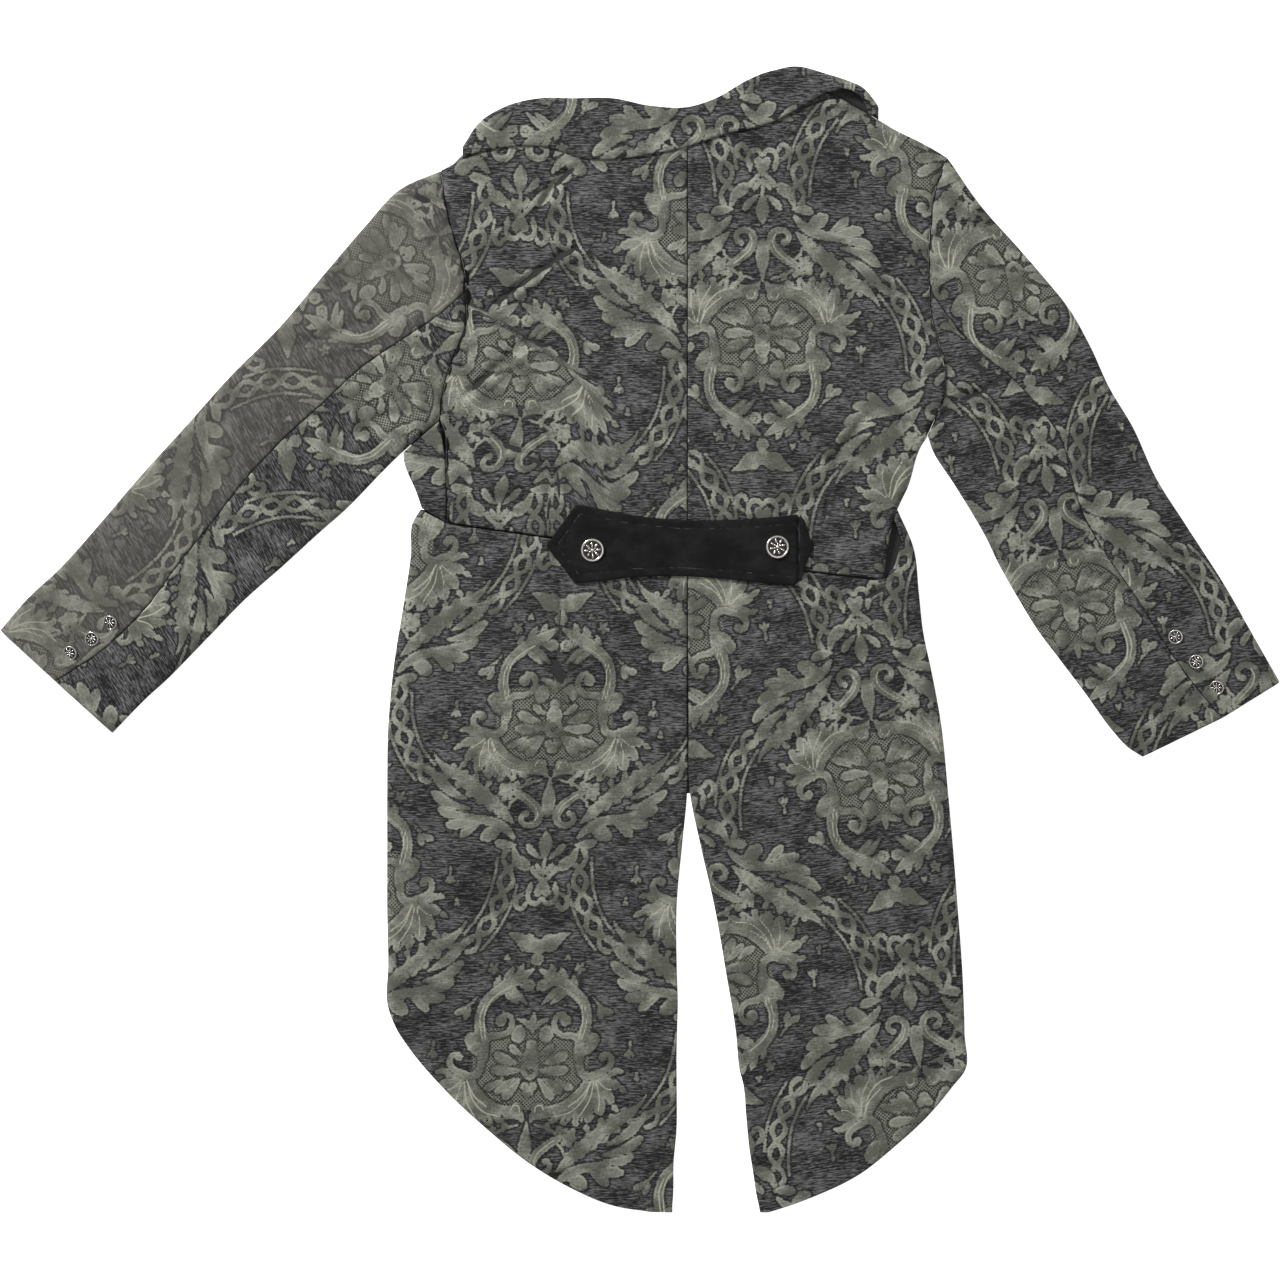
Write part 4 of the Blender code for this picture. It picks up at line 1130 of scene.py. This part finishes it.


# ---------------------------------------------------------------------------------------------
# Sleeves: each a top and an under piece, pressed flat, with the hind-arm seam showing down the
# middle and the forearm seam hidden beneath.
# ---------------------------------------------------------------------------------------------

FOREARM_SEAM = 0.76     # place of the hidden seam beneath, from the outer fold to the inner one
# Below the armhole: outer fold x, y, hind-arm seam x, y, inner fold x, y
SLEEVE = {
    "left": (
        (-222, 417, -185, 302, -205, 187), (-255, 382, -222, 277, -225, 169),
        (-291, 340, -257, 253, -242, 152), (-333, 290, -294, 219, -270, 123),
        (-379, 244, -330, 186, -297, 99), (-421, 197, -365, 149, -331, 68),
        (-462, 152, -395, 110, -366, 37), (-502, 105, -426, 72, -400, 2), (-535, 68, -458, 29, -434, -33),
        (-568, 37, -500, -11, -460, -57), (-592, 9, -541, -38, -488, -86),
    ),
    "right": (
        (316, 401, 298, 284, 274, 169), (349, 364, 324, 259, 292, 142), (375, 334, 346, 241, 308, 116),
        (396, 308, 369, 216, 320, 95), (417, 271, 389, 188, 333, 68), (434, 234, 399, 152, 349, 40),
        (456, 197, 409, 119, 366, 12), (477, 151, 431, 80, 386, -15), (506, 105, 459, 40, 411, -48),
        (542, 49, 491, -11, 434, -80), (568, 3, 515, -44, 450, -98), (592, -39, 539, -72, 465, -108),
    ),
}
ROW_PARTS = 24
SEAM_CLEAR = 0.002      # how far short of that seam the under piece stops, as a share

# The middle of a medallion on each piece, and how far its rows are turned
SLEEVE_WEAVE = {
    "left_top": (-235, 346, -60), "left_under": (-237, 235, -58),
    "right_top": (392, 14, 8), "right_under": (398, 30, 10),
}

for side, outward in (("left", -1), ("right", 1)):
    shift = np.array([outward * SEAM, 0.0])
    above = armhole_line(side, SLEEVE_SEAM_POINT, 8, ROW_PARTS) + shift
    below = armhole_line(side, SLEEVE_SEAM_POINT, 0, ROW_PARTS) + shift
    rings = [(np.concatenate([above[::-1], below[1:]]), above, below)]
    for ox, oy, sx, sy, ix, iy in SLEEVE[side]:
        ring = np.array([(ox, oy), (sx, sy), (ix, iy)], dtype=float)
        rings.append((ring, spread(ring[1::-1], ROW_PARTS), spread(ring[1:], ROW_PARTS)))
    top_rows, top_unders, under_rows, under_unders = [], [], [], []
    for ring, to_outer, to_inner in rings:
        top_rows.append(to_outer)
        top_unders.append(spread(ring, 8, 0.0, FOREARM_SEAM)[1:])
        gap = (to_inner[1] - to_inner[0]) * SEAM / math.dist(to_inner[0], to_inner[1])
        under_rows.append(np.concatenate([to_inner[:1] + gap, to_inner[1:]]))
        under_unders.append(spread(ring, 4, 1.0, FOREARM_SEAM + SEAM_CLEAR)[1:])
    folds = np.ones(len(rings))
    # The left top piece has its pile turned: its design is muted by a painted sheen
    make_cloth(f"sleeve_{side}_top", top_rows, top_unders, folds,
               turned_weave(*SLEEVE_WEAVE[side + "_top"]), (300, 640),
               stitch=(-0.5, 0, -1.6, 0.2), turned_nap=0.42 if side == "left" else 0.0)
    make_cloth(f"sleeve_{side}_under", under_rows, under_unders, folds,
               turned_weave(*SLEEVE_WEAVE[side + "_under"]), (200, 560),
               stitch=(-0.9, 0, -1.6, 0.2))


# ---------------------------------------------------------------------------------------------
# Collar: the fall lies on the backs, rolls over along the top and goes down behind to the neck
# seam.  Its right end stands off the shoulder; the black lining seen beneath it is painted shade
# for the hollow there.
# ---------------------------------------------------------------------------------------------

# From left to right: roll x, y, fall's edge x, y, and how far the fall stands off
COLLAR = (
    (-164, 456, -164, 446, 0), (-148, 479, -144, 452, 0), (-125, 493, -118, 456, 0), (-92, 501, -85, 455, 0),
    (-60, 501, -56, 446, 0), (-26, 501, -26, 444, 0), (10, 494, 10, 449, 0), (45, 493, 43, 456, 0),
    (70, 501, 77, 467, 0), (98, 517, 115, 476, 0), (125, 527, 148, 492, 1), (148, 530, 168, 504, 3),
    (176, 522, 178, 506.5, 6), (192, 516.5, 189.5, 508.5, 8), (206, 510, 200, 504, 9),
    (215, 500.5, 207.5, 496, 8), (220.5, 490, 212, 487.5, 6), (219.5, 485, 213.5, 483.5, 4),
)


COLLAR_HEIGHT = 3.0     # of its face over the backs' own
COLLAR_FOOT = 5.4       # height of the stand where it meets the neck


def neck_line(x):
    """How far up the neck and shoulder line is at a place across."""
    side = "left" if x < CENTRE_X else "right"
    tip = ARMHOLE[side][-1]
    t = (x - CENTRE_X) / (tip[0] - CENTRE_X)
    return NECK_Y + (tip[1] - NECK_Y) * t + neck_bow(side, t)


def collar_height(x, y):
    lift = np.interp(x, [row[2] for row in COLLAR], [row[4] for row in COLLAR])
    return lay_height(x, y) + COLLAR_HEIGHT + lift


tops = [spread([(ex, ey), (rx, ry)], 6) for rx, ry, ex, ey, _ in COLLAR]
unders = [spread([(rx, ry), (rx, neck_line(rx) + SEAM)], 3)[1:] for rx, ry, _, _, _ in COLLAR]
make_cloth("collar", tops, unders, np.ones(len(COLLAR)), turned_weave(65, 380), (430, 90),
           top_height=collar_height, base=COLLAR_FOOT, stitch=(0.5, 0, 0, 0))


# ---------------------------------------------------------------------------------------------
# Belt: one layer of matt near-black suede cloth over the waist seam, hollowed above and below, cut
# to a point at both ends and topstitched all round.  Its right end is creased over behind a button.
# ---------------------------------------------------------------------------------------------

# From the left point to the right one: upper edge x, y, lower edge x, y
BELT = (
    (-86, 88, -86, 85.5), (-80, 96.5, -80, 78), (-72, 107.5, -72, 68), (-62, 121, -62.5, 55),
    (-59, 124.4, -60, 52.6), (-55, 124.6, -56, 52.6), (-39, 121.6, -39, 54), (-4, 115, -4, 58),
    (37, 111, 37, 59),
    (82, 111, 82, 56), (116, 113, 116, 52.4), (140, 115.4, 138, 50.4), (146, 116, 142, 50.2),
    (150, 113, 147, 54), (154.5, 102, 153, 68), (159, 89, 159, 84),
)
BELT_HEIGHT = 3.4       # of its face over the backs
BELT_STITCH = 8.0       # how far in its topstitching runs
END_CREASE = 147.0      # where its right end is creased over
BELT_STEP = 1.2         # spacing of its fine mesh

belt_line = np.array([row[:2] for row in BELT] + [row[2:] for row in BELT[::-1]] + [BELT[0][:2]], dtype=float)


def into_belt(x, y):
    """How far in from the belt's edge a place is."""
    best = np.full(np.shape(x), 999.0)
    for (ax, ay), (bx, by) in zip(belt_line, belt_line[1:]):
        dx, dy = bx - ax, by - ay
        t = np.clip(((x - ax) * dx + (y - ay) * dy) / (dx * dx + dy * dy), 0, 1)
        best = np.minimum(best, np.hypot(x - ax - t * dx, y - ay - t * dy))
    return best


def belt_height(x, y):
    stitched = np.exp(-((into_belt(x, y) - BELT_STITCH) / 1.1) ** 2)
    crease = np.exp(-((x - END_CREASE) / 2.0) ** 2) * 2.6 + ease((x - END_CREASE) / 10) * 1.2
    softly = 0.35 * wave(x, y, 46, 0.2, 0.5) + 0.25 * wave(x, y, 29, 1.2, 2.0)
    return lay_height(x, y) + BELT_HEIGHT - 0.5 * stitched - crease + softly


# Brushed face: soft blotches where the nap is turned, no shine, and a grey thread in short stitches
suede, tree = new_material("near_black_suede_cloth")
place = node(tree, "Attribute", out="Vector", attribute_name="cloth")
drawn = node(tree, "Attribute", out="Vector", attribute_name="drawn")
inward = node(tree, "SeparateXYZ", [drawn], out=0)
off_line = node(tree, "Math", (inward, BELT_STITCH), operation="SUBTRACT")
off_line = node(tree, "Math", [off_line], operation="ABSOLUTE")
on_line = node(tree, "MapRange", (off_line, 0.2, 0.6, 1.0, 0.0), **SOFTLY)
shrunk = node(tree, "Mapping", {"Vector": place, "Scale": (1 / 7.0, 1 / 7.0, 1.0)})
worn = node(tree, "TexNoise", {"Vector": shrunk, "Scale": 1.0, "Detail": 3.0})
seen = node(tree, "MapRange", (worn, 0.46, 0.72, 0.0, 0.6), **SOFTLY)
thread = node(tree, "Math", (on_line, seen), operation="MULTIPLY")
shrunk = node(tree, "Mapping", {"Vector": place, "Scale": (1 / 30.0, 1 / 22.0, 1.0)})
turned_nap = node(tree, "TexNoise", {"Vector": shrunk, "Scale": 1.0, "Detail": 4.0, "Roughness": 0.65})
paler = node(tree, "MapRange", (turned_nap, 0.35, 0.75), **SOFTLY)
nap_colour = node(tree, "Mix", {0: paler, 6: linear("#131314"), 7: linear("#212122")}, **COLOURS)
belt_colour = node(tree, "Mix", {0: thread, 6: nap_colour, 7: linear("#555555")}, **COLOURS)
belt_face = node(tree, "BsdfPrincipled", {"Base Color": belt_colour, "Roughness": 0.95,
                                          "Specular IOR Level": 0.1, "Sheen Weight": 0.12,
                                          "Sheen Roughness": 0.4})
node(tree, "OutputMaterial", [belt_face])

rows = np.array([spread([row[2:], row[:2]], 8) for row in BELT])
make_cloth("belt", rows, rows[:, -1:], np.zeros(len(rows)), turned_weave(0, 0), (250, 78),
           top_height=belt_height, step=BELT_STEP,
           marks=lambda x, y: [into_belt(x, y), x, y], material=suede)


# ---------------------------------------------------------------------------------------------
# Buttons: silver-plated brass, a raised rim round a sunk field that is blackened, with a rosette
# in relief, its high places rubbed bright.  Two large ones hold the belt, three small ones each cuff.
# ---------------------------------------------------------------------------------------------

BUTTON_RADIUS = 10.75
CUFF_SHARE = 13.5 / 21.5
FIELD_RADIUS = 8.45     # of the blackened middle inside the rim

# Rubbed plate: the field keeps its black, the rim and relief are polished by wear
polished, tree = new_material("polished_silver_plate")
plate = node(tree, "BsdfPrincipled", {"Base Color": linear("#d6d3cd"), "Metallic": 1.0, "Roughness": 0.24})
node(tree, "OutputMaterial", [plate])
blackened, tree = new_material("blackened_silver_plate")
plate = node(tree, "BsdfPrincipled", {"Base Color": linear("#3b3733"), "Metallic": 1.0, "Roughness": 0.42})
node(tree, "OutputMaterial", [plate])


def pick_faces(item, wanted):
    """Selects, in edit mode, only the faces whose centre and normal are wanted."""
    bpy.ops.mesh.select_all(action="DESELECT")
    bpy.ops.object.mode_set(mode="OBJECT")
    for face in item.data.polygons:
        face.select = wanted(face.center, face.normal)
    bpy.ops.object.mode_set(mode="EDIT")


bpy.ops.object.select_all(action="DESELECT")
bpy.ops.mesh.primitive_cylinder_add(vertices=48, radius=BUTTON_RADIUS * MM, depth=2.0 * MM,
                                    location=(0, 0, 1.2 * MM))
button = bpy.context.active_object
bpy.ops.object.mode_set(mode="EDIT")
bpy.ops.mesh.select_mode(type="FACE")
pick_faces(button, lambda centre, normal: normal.z > 0.9)
for inset, lift in ((0.7, 0.7), (0.9, 0.1), (0.55, -0.9), (2.2, 0.25), (2.6, 0.25), (2.2, 0.15)):
    bpy.ops.mesh.inset(thickness=inset * MM)
    bpy.ops.transform.translate(value=(0, 0, lift * MM))
bpy.ops.mesh.poke()
pick_faces(button, lambda centre, normal: normal.z < -0.9)
bpy.ops.mesh.inset(thickness=1.0 * MM)
bpy.ops.transform.translate(value=(0, 0, -0.2 * MM))
bpy.ops.object.mode_set(mode="OBJECT")
button.data.materials.append(polished)
button.data.materials.append(blackened)
for face in button.data.polygons:
    inside = math.hypot(face.center.x, face.center.y) < FIELD_RADIUS * MM
    face.material_index = int(inside and face.center.z > 0)

# The rosette: a boss, a ring of beads, and uneven petals that lean on the field
petals = [(0.0, 0.0, 1.9, 1.7, 1.3, 0.0)]
for k in range(6):
    turn = math.radians(60 * k + 12)
    petals.append((2.9 * math.cos(turn), 2.9 * math.sin(turn), 1.25, 0.85, 1.0, turn))
for k, length in enumerate((2.3, 1.7, 2.1, 2.4, 1.5, 2.2, 1.9, 2.3)):
    turn = math.radians(45 * k + 30)
    petals.append((5.6 * math.cos(turn), 5.6 * math.sin(turn), length, 1.05, 0.9, turn))
relief = []
for x, y, length, width, height, turn in petals:
    bpy.ops.object.select_all(action="DESELECT")
    bpy.ops.mesh.primitive_uv_sphere_add(segments=14, ring_count=8, radius=MM, location=(0, 0, 0))
    petal = bpy.context.active_object
    petal.data.materials.append(polished)
    petal.data.transform(Matrix.LocRotScale((x * MM, y * MM, 2.35 * MM), Euler((0, 0, turn)),
                                            (length, width, height)))
    relief.append(petal)
bpy.ops.object.select_all(action="DESELECT")
for item in relief + [button]:
    item.select_set(True)
bpy.context.view_layer.objects.active = button
bpy.ops.object.join()
bevel = button.modifiers.new("soft_edges", "BEVEL")
bevel.width = 0.18 * MM
bevel.segments = 2
bevel.limit_method = "ANGLE"
bpy.ops.object.modifier_apply(modifier="soft_edges")
bpy.ops.object.shade_smooth_by_angle(angle=math.radians(50))

# Where each button stands: x, y, foot, size beside the belt's, turn, and lean in degrees
for name, x, y, foot, size, turn, lean in (
    ("belt_button_left", -44, 83, 12.0, 1.0, 20, 2), ("belt_button_right", 127, 86, 12.0, 1.0, 75, -4),
    ("cuff_button_left_1", -490, 16, 8.4, CUFF_SHARE, 10, 12),
    ("cuff_button_left_2", -507, 1, 8.4, CUFF_SHARE, 50, 10),
    ("cuff_button_left_3", -527, -12, 8.4, CUFF_SHARE, 95, 14),
    ("cuff_button_right_1", 495, 3, 8.4, CUFF_SHARE, 35, 9),
    ("cuff_button_right_2", 514, -20, 8.4, CUFF_SHARE, 70, 12),
    ("cuff_button_right_3", 533, -44, 8.4, CUFF_SHARE, 15, 14),
):
    one = bpy.data.objects.new(name + "_face", button.data.copy())
    leaning = Euler((math.radians(lean), math.radians(-lean), 0)).to_matrix().to_4x4()
    one.data.transform(Matrix.Translation((x * MM, y * MM, foot * MM)) @ leaning
                       @ Matrix.LocRotScale((0, 0, 0), Euler((0, 0, math.radians(turn))), (size, size, size)))
    bpy.context.scene.collection.objects.link(one)
    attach(one, "root")
    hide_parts(name)
bpy.data.objects.remove(button)
